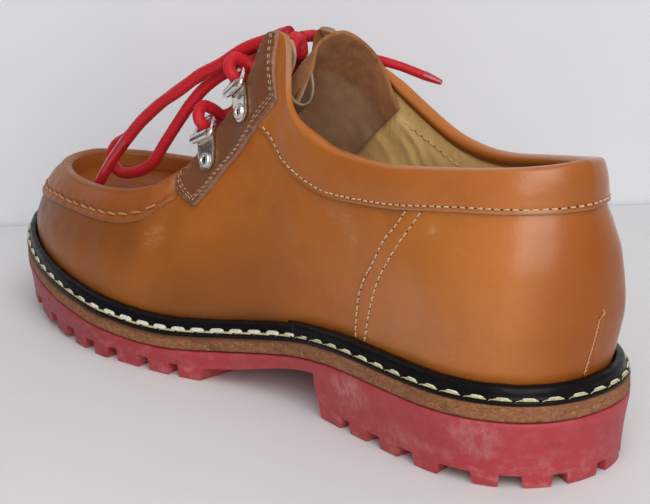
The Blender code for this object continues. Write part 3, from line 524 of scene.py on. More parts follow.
def leather(name, base, deep, warm, roughness=0.36, grain=0.05, coat=(0.12, 0.12), raw=(0.42, 0.24, 0.13), burnish_and_shade_colour=(0.11, 0.032, 0.008), shine=0.5):
    p = Paint(name, Coat_Roughness=0.28, IOR=1.42)
    x, y, z = p.height_mm()
    back = p.span(x, -152.0, -129.0)                            # darker and duller round the back of the heel
    p.set("Coat Weight", p.math("MULTIPLY", p.span(x, -108.0, -45.0, *coat), p.span(back, 0.0, 1.0, 0.10, 1.0)))   # glossier at the heel than at the toe
    p.bsdf.inputs["Specular IOR Level"].default_value = shine
    broad = p.noise(60, 3, 0.55)
    cloud = p.noise(16, 3, 0.6)
    speck = p.noise(1.6, 2, 0.6)
    c = p.mix(p.span(broad, 0.35, 0.7), base, warm)
    c = p.mix(p.span(cloud, 0.42, 0.82, 0.0, 0.26), c, deep)
    c = p.mix(p.span(back, 0.0, 1.0, 0.80, 0.0), c, deep)
    # darker where the mark says: burnish over the toe, and painted shade low on the walls, in hollows, under parts and
    # within the shoe
    c = p.mix(p.mark("burnish_and_shade"), c, burnish_and_shade_colour)
    c = p.mix(p.span(speck, 0.52, 0.78, 0.0, 0.14), c, deep)
    scuffs = p.math("MULTIPLY", p.mark("scuff"), p.span(p.noise(2.4, 4, 0.7, (0.35, 1.0, 1.6)), 0.42, 0.66))
    c = p.mix(scuffs, c, (0.62, 0.36, 0.19))
    fibre = p.mix(p.span(p.noise(0.5, 3, 0.7), 0.3, 0.7), raw, tuple(0.62 * v for v in raw))
    c = p.mix(p.mark("raw"), c, fibre)
    p.set("Base Color", c)
    r = p.span(p.noise(7, 3, 0.6), 0.3, 0.7, roughness - 0.05, roughness + 0.07)
    r = p.math("ADD", r, p.math("MULTIPLY", scuffs, 0.2))
    p.set("Roughness", p.math("ADD", r, p.math("MULTIPLY", p.mark("raw"), 0.4)))
    pores = p.cells(0.62, "F1")
    n = p.bump(p.noise(4.5, 3, 0.5), grain * 1.1)
    n = p.bump(pores, grain * 0.75, n)
    p.set("Normal", p.bump(p.noise(0.34, 2, 0.6), grain * 0.5, n))
    p.set("Coat Normal", p.bump(p.noise(0.9, 2, 0.55), grain * 0.9))      # pebbled gloss
    return p.mat


# ---------------------------------------------------------------- camera
def camera():
    az, el, roll = np.radians((49.39, 16.69, -1.02))
    back = np.array([-sin(az) * cos(el), cos(az) * cos(el), sin(el)])
    right = np.cross([0.0, 0.0, 1.0], back)
    right /= np.linalg.norm(right)
    up = np.cross(back, right)
    right, up = cos(roll) * right + sin(roll) * up, cos(roll) * up - sin(roll) * right
    spot = put((-349.75, 410.57, 234.62))
    data = bpy.data.cameras.new("camera")
    data.lens, data.sensor_width, data.sensor_fit = 103.03, 36.0, "HORIZONTAL"
    data.clip_start, data.clip_end = 0.02, 20.0
    ob = bpy.data.objects.new("camera", data)
    ob.matrix_world = Matrix([[right[k], up[k], back[k], spot[k]] for k in range(3)] + [[0, 0, 0, 1]])
    scene.collection.objects.link(ob)
    scene.camera = ob


camera()

# ---------------------------------------------------------------- lace: routes are the part's own
LACE, WIRE, STAY, BAND = 4.4, 2.0, 1.5, 1.3
CLIP_SHEET, FOLD_AT, RING_WIDTH, RING_DEPTH = 0.9, 8.4, 10.4, 9.0
RING_TILT = 25.0 * pi / 180
BAR = CLIP_SHEET + WIRE / 2 + 0.3
RINGS = (("low", 160.0, 0.865), ("high", 144.2, 0.885))


def bend(points, n):
    p = np.asarray(points, float)
    s = np.concatenate([[0], np.cumsum(np.linalg.norm(np.diff(p, axis=0), axis=1))])
    q = np.linspace(0, s[-1], n)
    m = np.gradient(p, s, axis=0)
    k = np.clip(np.searchsorted(s, q, side="right") - 1, 0, len(s) - 2)
    h = (s[k + 1] - s[k])[:, None]
    t = (q - s[k])[:, None] / h
    return ((1 + 2 * t) * (1 - t) ** 2 * p[k] + t * (1 - t) ** 2 * h * m[k]
            + t * t * (3 - 2 * t) * p[k + 1] + t * t * (t - 1) * h * m[k + 1])


def clip_frame(side, station, t):
    o = wall(side, station, t, GAP + STAY)
    rise = wall(side, station, t + 0.06, GAP + STAY) - wall(side, station, t - 0.06, GAP + STAY)
    rise /= np.linalg.norm(rise)
    go = wall(side, station + 3.0, t, GAP + STAY) - wall(side, station - 3.0, t, GAP + STAY)
    out = np.cross(rise, go) * side
    out /= np.linalg.norm(out)
    lacing = wall(side, station + 3.0, 1.0) - wall(side, station - 3.0, 1.0)
    lacing -= out * np.dot(lacing, out)
    lacing /= np.linalg.norm(lacing)
    square = rise - lacing * np.dot(rise, lacing)
    up = rise + square / np.linalg.norm(square)
    up -= out * np.dot(up, out)
    up /= np.linalg.norm(up)
    return o + out * 0.7, up, np.cross(up, out), out


def place(fr, pts):
    o, up, go, out = fr
    p = np.asarray(pts, float)
    return o + p[:, :1] * up + p[:, 1:2] * go + p[:, 2:] * out


SEATS = {(pair, side): clip_frame(side, np.array(x), np.array(t)) for pair, x, t in RINGS for side in (1, -1)}
KNOT = np.array([144.5, -0.5, 116.8])
TURN = (
    (5.0, -4.8, 4.0), (0.8, -2.4, 1.4), (-0.3, 0.6, 0.2), (0.6, 3.3, 0.0), (3.8, 4.6, 0.0), (7.0, 3.3, 0.0), (8.2, 0.0, 0.0), (9.2, -5.0, 0.6),
)
TURN_END = ((8.0, 0.2, 0.0), (6.6, -5.4, -0.9))   # above the upper rings the lace drops to the knot


def turn(pair, side):
    fr = SEATS[pair, side]
    reach = RING_DEPTH - WIRE / 2 - LACE / 2 - 0.6
    p = place(fr, [(FOLD_AT + reach * cos(RING_TILT), 0.0, BAR - reach * sin(RING_TILT))])[0]
    through = fr[1] * cos(RING_TILT) - fr[3] * sin(RING_TILT)
    over = fr[1] * sin(RING_TILT) + fr[3] * cos(RING_TILT)
    return [p + through * a + over * b - fr[2] * side * c for a, b, c in (TURN if pair == "low" else TURN[:6] + TURN_END)]


def towards(x, y, z, reach=7.6):
    d = np.array([x, y, z], float)
    return KNOT + reach * d / np.linalg.norm(d)


CORDS = {
    "lace_end_medial": (towards(0.5, 0.72, 0.48), (161.4, 8.7, 115.1), (169.2, 13.0, 109.3), (178.0, 16.0, 104.5),
                        (186.0, 19.0, 98.3), (196.0, 21.0, 92.0), (206.5, 23.0, 83.6), (213.0, 24.0, 77.0),
                        (222.0, 26.0, 66.6), (228.0, 28.0, 57.6)),
    "lace_loop_medial": (towards(0.97, 0.15, 0.2), (169.0, 4.0, 111.6), (179.0, 5.5, 106.9), (188.0, 8.0, 101.8),
                         (198.5, 10.0, 95.6), (207.0, 13.0, 89.0), (216.0, 16.0, 81.0), (223.5, 17.0, 74.4),
                         (230.5, 18.0, 70.0), (232.5, 19.0, 65.5), (227.0, 20.0, 61.5), (216.0, 20.0, 62.5),
                         (203.0, 20.0, 69.0), (196.6, 19.0, 76.9), (190.0, 17.5, 85.4), (185.2, 15.0, 92.7),
                         (180.7, 12.0, 98.7), (174.1, 8.8, 104.2), (166.0, 6.2, 108.4), (158.4, 4.4, 111.5),
                         towards(0.8, 0.56, -0.32)),
    "lace_end_lateral": (towards(0.45, -0.85, 0.3), (148.6, -14.2, 118.4), (143.0, -20.6, 115.0), (134.5, -23.8, 111.6),
                         (126.0, -26.2, 110.6), (120.5, -29.6, 109.0), (115.0, -33.0, 106.8), (108.0, -37.0, 104.0)),
    "lace_loop_lateral": (towards(0.75, -0.35, 0.6), (161.5, -6.0, 117.5), (172.0, -7.0, 110.5), (182.0, -8.5, 100.2),
                          (190.5, -11.0, 88.4), (197.0, -14.0, 77.5), (199.0, -17.5, 70.0), (195.0, -20.5, 67.5),
                          (189.5, -19.5, 71.5), (184.5, -16.5, 79.9), (178.6, -13.0, 90.7), (171.6, -10.4, 101.0),
                          (163.2, -4.2, 111.5), towards(0.9, -0.06, -0.43)),
}


def lace_paint(name, colour, deep):
    p = Paint(name, Sheen_Weight=0.06, Sheen_Roughness=0.4, Specular_IOR_Level=0.3)
    # painted shade in the valleys of the braid
    c = p.mix(p.span(p.mark("dip_shade"), 0.45, 1.0, 0.0, 0.7), colour, deep)
    c = p.mix(p.span(p.noise(9, 3, 0.6), 0.45, 0.75, 0.0, 0.25), c, deep)
    c = p.mix(p.span(p.noise(0.6, 2, 0.6), 0.55, 0.75, 0.0, 0.16), c, (0.78, 0.07, 0.07))
    p.set("Base Color", c)
    p.set("Roughness", p.span(p.noise(3, 2), 0.3, 0.7, 0.48, 0.62))
    p.set("Normal", p.bump(p.noise(0.25, 2, 0.7, (0.4, 1.0, 1.0)), 0.03))
    return p.mat


RED = lace_paint("lace_cord", (0.56, 0.010, 0.020), (0.26, 0.003, 0.007))


def tip_paint():
    p = Paint("aglet_red", Coat_Weight=0.6, Coat_Roughness=0.08, Roughness=0.3)
    c = p.mix(p.span(p.noise(3.5, 3, 0.6, (1, 1, 0.4)), 0.4, 0.7), (0.46, 0.012, 0.020), (0.28, 0.006, 0.010))
    # painted shade in the seam groove of the roll
    p.set("Base Color", p.mix(p.mark("dip_shade"), c, (0.08, 0.002, 0.003)))
    p.set("Normal", p.bump(p.noise(0.9, 2), 0.03))
    return p.mat


TIP = tip_paint()


def braid(points, step=0.34, sides=32, radius=LACE / 2, thin=None):
    """Round braided cord along a route; thin gives its radius share along the length."""
    total = length_of(bend(points, 400))
    n = int(total / step) + 1
    p = bend(points, n)
    _, u, w = frames(p)
    s = np.linspace(0, total, n)
    a = 2 * pi * np.arange(sides) / sides
    weave = np.cos(8 * a[None] + 0.9 * s[:, None]) * np.cos(2 * pi * s / 1.75)[:, None]
    r = radius - 0.05 + 0.09 * weave + 0.05 * np.cos(2 * a[None] + s[:, None] / 9)
    if thin is not None:
        r = r * thin(s, total)[:, None]
    v = p[:, None] + (r * np.cos(a))[..., None] * u[:, None] + (r * np.sin(a))[..., None] * w[:, None]
    faces = net(n, sides, wrap_c=True) + [list(range(sides)), [(n - 1) * sides + k for k in range(sides)]]
    return v.reshape(-1, 3), faces, (0.5 - 0.5 * weave).ravel(), p, total


def aglet(name, path, start, stop, radius, taper):
    """Hard tip rolled round the end of a strand, with the seam of the roll along it."""
    s = np.linspace(start, stop, 60)
    p = along(path, s)
    _, u, w = frames(p)
    k = (s - start) / (stop - start)
    sides = 28
    a = 2 * pi * np.arange(sides) / sides
    groove = np.exp(-((np.mod(a - 1.15 + pi, 2 * pi) - pi) / 0.26) ** 2)[None]
    r = radius * (1 - taper * k ** 1.5)[:, None] * (1 - 0.17 * groove)
    r = r * np.where(k > 0.97, 0.86, 1.0)[:, None] * np.where(k < 0.02, 0.93, 1.0)[:, None]
    v = p[:, None] + (r * np.cos(a))[..., None] * u[:, None] + (r * np.sin(a))[..., None] * w[:, None]
    faces = net(60, sides, wrap_c=True) + [list(range(sides)), [59 * sides + i for i in range(sides)]]
    return piece(name, v.reshape(-1, 3), faces, TIP, slot="lace", marks={"dip_shade": np.broadcast_to(groove * 0.8, r.shape)}, angle=40)


def lay_cord(node, look, tip=None):
    route = CORDS[node]
    total = length_of(bend(route, 400))
    thin = None
    if tip:
        slim = 1.0 - tip[3] * ease(0.25, 0.75, np.linspace(0, 1, 400))
        thin = lambda s, n: np.interp(s / n, np.linspace(0, 1, 400), slim) * np.where(s > n - tip[0] + 1.5, 0.72 * (1 - tip[2] * np.clip((s - n + tip[0]) / tip[0], 0, 1)), 1.0)
    v, f, dip_shade, path, total = braid(route, thin=thin)
    ob = piece(look, v, f, RED, node, "lace", {"dip_shade": dip_shade})
    ends = []
    if tip:
        ends = [aglet(look + "_tip", path, total - tip[0], total, tip[1], tip[2])]
    return total


LENGTHS = {
    "lace_end_medial": lay_cord("lace_end_medial", "lace_strand_medial", (25.0, 2.25, 0.05, 0.0)),
    "lace_loop_medial": lay_cord("lace_loop_medial", "lace_bow_medial"),
    "lace_end_lateral": lay_cord("lace_end_lateral", "lace_strand_lateral", (7.0, 1.72, 0.45, 0.24)),
    "lace_loop_lateral": lay_cord("lace_loop_lateral", "lace_bow_lateral"),
}

upper_in, upper_out, lower_in, lower_out = turn("high", 1), turn("high", -1), turn("low", 1), turn("low", -1)
route = [towards(0.1, 0.85, -0.55, 9.4)] + upper_in[::-1]
route += [(upper_in[0] + lower_out[-1]) / 2 - np.array([0.75, 0.0, 0.66]) * 5.4] + lower_out[::-1]
route += [(lower_out[0] + lower_in[0]) / 2 + np.array([5.5, 0.0, 2.5])] + lower_in
route += [(lower_in[-1] + upper_out[0]) / 2] + upper_out + [towards(0.3, -0.7, -0.66, 9.6)]
v, f, dip_shade, _, LENGTHS["lace_crossings"] = braid(route)
piece("lace_rows", v, f, RED, "lace_crossings", "lace", {"dip_shade": dip_shade})


def knot():
    """Tight knot: the cord wrapped over itself."""
    a = np.linspace(0, 2 * pi, 90, endpoint=False)
    x = np.sin(a) + 1.5 * np.sin(2 * a)
    y = np.cos(a) - 1.5 * np.cos(2 * a)
    z = -np.sin(3 * a)
    p = KNOT + np.stack([x * 1.35, y * 1.5, z * 2.5], -1)
    p = np.concatenate([p, p[:1]])
    v, f, dip_shade, _, _ = braid(p, radius=2.25)
    lo, hi = v.min(0), v.max(0)
    return KNOT + (v - (lo + hi) / 2) * (np.array([10.8, 11.6, 10.4]) / (hi - lo)), f, dip_shade


v, f, dip_shade = knot()
piece("lace_knot_wrap", v, f, RED, "lace_knot", "lace", {"dip_shade": dip_shade})


# ---------------------------------------------------------------- leathers
TAN = leather("tan_leather", (0.450, 0.133, 0.018), (0.255, 0.058, 0.007), (0.485, 0.155, 0.023), 0.36, 0.07, (0.80, 0.02), shine=0.28)
COLLAR = leather("collar_leather", (0.43, 0.122, 0.015), (0.26, 0.064, 0.008), (0.48, 0.146, 0.021), 0.34, 0.06, (0.90, 0.05), shine=0.32)
STRAP = leather("facing_leather", (0.180, 0.060, 0.021), (0.115, 0.037, 0.013), (0.205, 0.064, 0.017), 0.42, 0.05, (0.05, 0.05), (0.36, 0.20, 0.14), shine=0.4)
APRON = leather("apron_leather", (0.25, 0.058, 0.007), (0.15, 0.030, 0.004), (0.29, 0.072, 0.010), 0.55, 0.05, (0.0, 0.0), shine=0.08)
RIM = leather("apron_band_leather", (0.31, 0.086, 0.015), (0.17, 0.043, 0.009), (0.35, 0.100, 0.019), 0.37, 0.05, (0.06, 0.06), shine=0.32)


def suede(name, base, deep, pale):
    p = Paint(name, Roughness=0.9, Sheen_Weight=0.12, Sheen_Roughness=0.45, Specular_IOR_Level=0.12)
    c = p.mix(p.span(p.noise(11, 4, 0.65), 0.38, 0.68), base, deep)
    c = p.mix(p.span(p.noise(2.2, 4, 0.7, (1, 1, 0.5)), 0.5, 0.72, 0.0, 0.6), c, pale)
    # darker where the mark says, mostly painted shade within the shoe and in the folds
    c = p.mix(p.mark("burnish_and_shade"), c, tuple(0.45 * v for v in deep))
    c = p.mix(p.mark("raw"), c, (0.50, 0.36, 0.24))
    p.set("Base Color", c)
    n = p.bump(p.noise(3.0, 3, 0.6), 0.12)
    p.set("Normal", p.bump(p.noise(0.32, 4, 0.75), 0.10, n))
    return p.mat


NAP = suede("tongue_suede", (0.345, 0.150, 0.058), (0.235, 0.098, 0.038), (0.45, 0.225, 0.105))
LEAF = suede("gusset_suede", (0.30, 0.190, 0.120), (0.20, 0.115, 0.066), (0.40, 0.275, 0.190))
LINING = suede("lining_leather", (0.86, 0.585, 0.240), (0.74, 0.480, 0.185), (0.92, 0.67, 0.31))


def thread_paint(name, colour, deep, gloss=0.55):
    p = Paint(name, Roughness=gloss, Sheen_Weight=0.15, Sheen_Roughness=0.4)
    p.set("Base Color", p.mix(p.span(p.noise(1.1, 3, 0.7), 0.35, 0.72), colour, deep))
    p.set("Normal", p.bump(p.noise(0.22, 2, 0.7), 0.04))
    return p.mat


CREAM = thread_paint("cream_thread", (0.66, 0.47, 0.28), (0.42, 0.25, 0.12))
ROSE = thread_paint("pale_rose_thread", (0.52, 0.34, 0.25), (0.34, 0.19, 0.12))
GOLD = thread_paint("golden_thread", (0.50, 0.24, 0.065), (0.30, 0.12, 0.03))
STRAW = thread_paint("straw_thread", (0.66, 0.40, 0.18), (0.42, 0.22, 0.08))
BROWN = thread_paint("brown_thread", (0.20, 0.085, 0.035), (0.10, 0.04, 0.015))
WHITE = thread_paint("white_thread", (0.80, 0.78, 0.71), (0.56, 0.53, 0.44))
OLIVE = thread_paint("olive_thread", (0.56, 0.53, 0.27), (0.32, 0.28, 0.11))


# near black: painted shade in the needle holes and the rivet wells
def hole_shade_paint():
    p = Paint("hole_shade", Roughness=0.9)
    p.set("Base Color", p.mix(p.noise(1.5), (0.03, 0.010, 0.004), (0.012, 0.004, 0.002)))
    return p.mat


HOLE_SHADE = hole_shade_paint()


def sew(name, rows, thread, slot, wells=True):
    """Rows of (path, normal, pitch, share, radius): one joined mesh of thread and one of needle holes."""
    threads, holes = [], []
    for k, row in enumerate(rows):
        a, b = stitch_row(*row[:5], seed=17 + k, slant=row[5] if len(row) > 5 else 0.0)
        threads += a
        holes += b
    piece(name, *merge(threads), thread, slot=slot)
    if wells:
        piece(name + "_holes", *merge(holes), HOLE_SHADE, slot=slot)


def skin_path(q, t, out):
    return skin(q, t, out), normal_at(q, t)


# ---------------------------------------------------------------- upper
SEAM_FRONT = ((0.0, 81.2), (0.092, 80.1), (0.242, 77.3), (0.329, 75.7), (0.421, 72.9), (0.542, 67.8), (0.654, 63.8), (0.733, 59.4), (0.804, 56.2), (1.0, 48.0))
SEAM_REAR = ((0.0, 77.4), (0.083, 75.3), (0.271, 70.5), (0.375, 67.8), (0.475, 64.6), (0.571, 60.6), (0.658, 56.6), (0.733, 53.0), (0.808, 49.8), (1.0, 41.0))
DART_T = (0.07, 0.335)
DENTS = (  # what, side, station, height fraction, half length, half height (fraction), depth outwards
    ("ankle_hollow", 1, 92.0, 0.64, 15.0, 0.15, -0.9),
    ("counter_swell", 1, 40.0, 0.50, 14.0, 0.16, 0.5),
    ("counter_dent", 1, 47.0, 0.30, 7.0, 0.08, -0.35),
    ("quarter_pull", 1, 118.0, 0.52, 9.0, 0.20, 0.55),
    ("lace_pull", 1, 148.0, 0.55, 10.0, 0.10, -0.55),
    ("throat_trough", 1, 178.0, 0.66, 5.5, 0.16, -0.7),
    ("throat_ridge", 1, 188.0, 0.58, 6.5, 0.18, 0.55),
    ("vamp_trough", 1, 199.0, 0.52, 5.0, 0.20, -0.6),
    ("vamp_ridge", 1, 208.0, 0.50, 6.0, 0.20, 0.45),
    ("ball_trough", 1, 217.0, 0.46, 5.0, 0.18, -0.4),
    ("nick", 1, 43.4, 0.729, 0.9, 0.010, -0.5),
    ("ankle_hollow", -1, 90.0, 0.62, 15.0, 0.15, -0.8),
    ("throat_trough", -1, 180.0, 0.66, 5.5, 0.16, -0.7),
    ("throat_ridge", -1, 190.0, 0.58, 6.5, 0.18, 0.5),
    ("vamp_trough", -1, 201.0, 0.52, 5.0, 0.20, -0.6),
    ("vamp_ridge", -1, 210.0, 0.50, 6.0, 0.20, 0.45),
)


def seam(table, t):
    return smooth(column(table, 0), column(table, 1), t)


def dart_centre(t):
    return 1.0 + 2.8 * (0.24 - t) / 0.33


def dart_gap(q, t):
    return np.mod(q - dart_centre(t) + LOOP / 2, LOOP) - LOOP / 2


def relief(q, t):
    """Height of the upper's outer face over the plain last, in millimetres."""
    inner, x = station_of(q)
    d = x - seam(SEAM_FRONT, t) - 1.4
    out = -0.42 * np.tanh(d / 0.18) * np.exp(-(d / 26.0) ** 2)
    for row in (SEAM_FRONT, SEAM_REAR):
        out = out - 0.15 * np.exp(-((x - seam(row, t)) / 0.6) ** 2)
    g = dart_gap(q, t)
    on = ease(DART_T[1] + 0.03, DART_T[1] - 0.02, t)
    out = out + on * (-0.55 * np.exp(-(g / 0.5) ** 2) + 0.22 * np.exp(-((np.abs(g) - 1.5) / 0.8) ** 2))
    for _, side, x0, t0, lx, lt, depth in DENTS:
        out = out + depth * np.exp(-((x - x0) / lx) ** 2 - ((t - t0) / lt) ** 2) * (inner == (side > 0))
    p = skin(q, t, np.zeros(np.shape(q)))
    return out + 0.10 * wave(p, 24.0, 3) + 0.05 * wave(p, 9.0, 5)


def upper_columns():
    cols = []
    for side in (1, -1):
        ref = np.interp(73.0, SIDES[side][0], SIDES[side][2])
        r, end = 0.0, (RUN_IN if side > 0 else RUN_OUT)
        run = []
        while r < end - 0.4:
            run.append(r)
            gap = abs(r - ref)
            near = 0.22 if gap < 2.4 else 0.5 if gap < 8 else 1.3
            heel = 0.28 if r < 5.5 else 0.8 if r < 9 else 1.3
            r += min(near, heel)
        run = np.array(run)
        cols.append(run if side > 0 else LOOP - run[:0:-1])
    return np.concatenate(cols)


def seam_shift(side, t):
    r = np.interp(seam(SEAM_FRONT, t) + 1.4, SIDES[side][0], SIDES[side][2])
    return r - np.interp(73.0, SIDES[side][0], SIDES[side][2])


def upper_grid():
    c = upper_columns()
    t = np.linspace(0, 1, 58)
    q = np.repeat(c[:, None], len(t), 1)
    for side in (1, -1):
        ref = np.interp(73.0, SIDES[side][0], SIDES[side][2])
        r = c if side > 0 else LOOP - c
        w = (1 - ease(14, 50, np.abs(r - ref))) * ((c <= RUN_IN) == (side > 0))
        q = q + side * w[:, None] * seam_shift(side, t)[None]
    return q, np.repeat(t[None], len(c), 0)


q, t = upper_grid()
inner, x = station_of(q)
d = x - seam(SEAM_FRONT, t) - 1.4
# Darkening mark: over the forefoot, most at its top and at the toe, burnish with painted shade; painted shade low on
# the wall by the welt and low along the waist; a dark line down the closed dart.
burnish_and_shade = 0.46 * ease(0.13, 0.0, t) + (0.42 + 0.18 * ease(0.25, 0.62, t)) * ease(140, 200, x) + 0.30 * ease(236, 288, x) + 0.52 * ease(95, 140, x) * ease(0.66, 0.15, t) * (1 - ease(160, 192, x))
burnish_and_shade = burnish_and_shade + 0.55 * np.exp(-(dart_gap(q, t) / 0.35) ** 2) * ease(DART_T[1] + 0.01, DART_T[1] - 0.02, t)
raw = 0.75 * np.exp(-((d + 0.05) / 0.28) ** 2) * ease(0.03, 0.1, t)
rim_raw = 0.8 * ease(117.5, 120.0, x) * ease(170.0, 160.0, x) * ease(0.975, 0.99, t)
scuff = np.zeros(q.shape)
for sx, st, w, k in ((83.7, 0.717, 3.0, 0.35), (80.5, 0.60, 3.5, 0.35), (90.8, 0.667, 3.0, 0.25), (43.4, 0.729, 1.4, 0.6), (34.0, 0.20, 4.0, 0.2), (182.0, 0.62, 4.5, 0.28)):
    scuff += k * np.exp(-((x - sx) / w) ** 2 - ((t - st) * 70 / w) ** 2) * inner
outer = skin(q, t, relief(q, t))
under = skin(q, t, -1.3)
zero = np.zeros(q.size)
v, f = shell(outer, under, True)
piece("upper_leather", v, f, TAN, "upper", "upper", {
    "burnish_and_shade": np.concatenate([np.clip(burnish_and_shade, 0, 0.85).ravel(), zero]), "raw": np.concatenate([np.maximum(raw, rim_raw).ravel(), rim_raw.ravel()]),
    "scuff": np.concatenate([np.clip(scuff, 0, 1).ravel(), zero])}, 50)

rows = []
for side in (1, -1):
    for table in (SEAM_FRONT, SEAM_REAR):
        t = np.linspace(0.075, 0.815, 120)
        qs = q_of(side, seam(table, t))
        rows.append((*skin_path(qs, t, relief(qs, t)), 2.8, 0.68, 0.30))
sew("side_seam_stitches", rows, CREAM, "upper")


def dart():
    """Zigzag thread that closes the dart at the back of the heel, with its loose end."""
    k = np.arange(27)
    t = np.interp(k, [0, 26], [0.340, 0.072])
    q = dart_centre(t) + np.where(k % 2, 0.36, -0.36)
    fine_t = np.interp(np.linspace(0, 26, 300), k, t)
    fine_q = np.interp(np.linspace(0, 26, 300), k, q)
    lift = 0.28 + 0.12 * np.sin(np.linspace(0, 26, 300) * pi)
    p, n = skin_path(fine_q, fine_t, relief(fine_q, fine_t) + lift)
    parts = [strand(p, n, np.full(300, 0.18), np.full(300, 0.16), 8, 0.1, 60)]
    s = np.linspace(0, 1, 26)
    tq, tt = dart_centre(0.34) - 0.5 - 1.0 * np.sin(s * 2.2), 0.345 + 0.030 * s + 0.006 * np.sin(s * 7)
    p, n = skin_path(tq, tt, 0.35 + 0.5 * np.sin(s * pi))
    parts.append(strand(p, n, np.full(26, 0.17), np.full(26, 0.16), 7, 0.1, 6))
    piece("heel_dart_thread", *merge(parts), STRAW, slot="upper")


dart()

# ---------------------------------------------------------------- lining
CREASES = (  # side, points (station, height fraction), half width in mm, depth
    (-1, ((118.7, 0.754), (116.3, 0.733), (114.3, 0.70), (113.1, 0.642)), 2.0, -0.60),
    (-1, ((115.5, 0.829), (112.7, 0.817), (109.5, 0.783), (108.3, 0.717)), 2.0, -0.60),
    (-1, ((124.2, 0.646), (122.6, 0.608), (121.4, 0.571)), 1.8, -0.45),
    (-1, ((103.0, 0.79), (100.0, 0.75), (98.5, 0.69)), 3.0, -0.25),
)


def crease(x, t, points, width, high=72.0):
    """Share of a soft fold along a short line, by distance from it."""
    p = np.array(points) * (1.0, high)
    fine = along(p, np.linspace(0, length_of(p), 24))
    d = np.min(np.hypot(x[..., None] - fine[:, 0], t[..., None] * high - fine[:, 1]), axis=-1)
    return np.exp(-(d / width) ** 2)


def lining():
    q = np.linspace(q_of(-1, 150.0) - LOOP, q_of(1, 150.0), 320)
    t = np.linspace(0.03, 1.0, 52)
    q, t = np.meshgrid(q, t, indexing="ij")
    inner, x = station_of(q)
    t = t * (1 - 0.26 * ease(115.0, 121.0, x))       # it stops below the tabs
    out = -2.2 + 0.18 * wave(skin(q, t, np.zeros(q.shape)), 17.0, 8)
    for side, pts, width, depth in CREASES:
        out = out + depth * crease(x, t, pts, width) * (inner == (side > 0))
    out = out + 0.6 * ease(95.0, 110.0, x) * ease(0.78, 0.88, t) * inner      # pared thin up the inner tab
    out = np.minimum(out, -1.6)
    face, back = skin(q, t, out), skin(q, t, np.full(q.shape, -1.36))
    v, f = shell(face, back)
    # painted shade: the lining darker toward the bottom, deep in the shoe
    dark = np.concatenate([(0.30 * ease(0.60, 0.1, t)).ravel(), np.zeros(q.size)])
    piece("quarter_lining", v, f, LINING, slot="upper", marks={"burnish_and_shade": dark})
    rows = []
    for side in (1, -1):
        x = np.linspace(114.0, 20.0, 160)
        ts = 0.852 - 0.004 * np.sin(x / 3.4) - 0.02 * ease(50, 20, x)
        qs = q_of(side, x)
        p = skin(qs, ts, np.full(160, -2.25))
        rows.append((p, -normal_at(qs, ts), 3.1, 0.66, 0.26))
    sew("lining_stitches", rows, CREAM, "upper")


lining()

# ---------------------------------------------------------------- collar band
BAND_LOW = ((0.0, 0.812), (10.0, 0.817), (21.6, 0.821), (34.6, 0.825), (50.0, 0.817), (67.8, 0.804), (86.5, 0.781), (96.8, 0.767),
            (107.5, 0.753), (113.5, 0.737), (119.5, 0.692), (124.2, 0.670), (128.4, 0.676), (132.4, 0.698), (137.0, 0.738))
UNDER_FACING = ((0.66, 140.0), (0.707, 136.5), (0.737, 130.5), (0.763, 128.0), (0.808, 124.8), (0.838, 127.4), (0.88, 128.9), (0.927, 129.4), (1.0, 128.8))


def showing(x, t):
    """1 where the band is in sight, a small share where the facing lies over it."""
    return 1 - 0.8 * ease(-2.0, 0.8, x - np.interp(t, column(UNDER_FACING, 0), column(UNDER_FACING, 1)))


def band_low(x):
    return smooth(column(BAND_LOW, 0), column(BAND_LOW, 1), x)


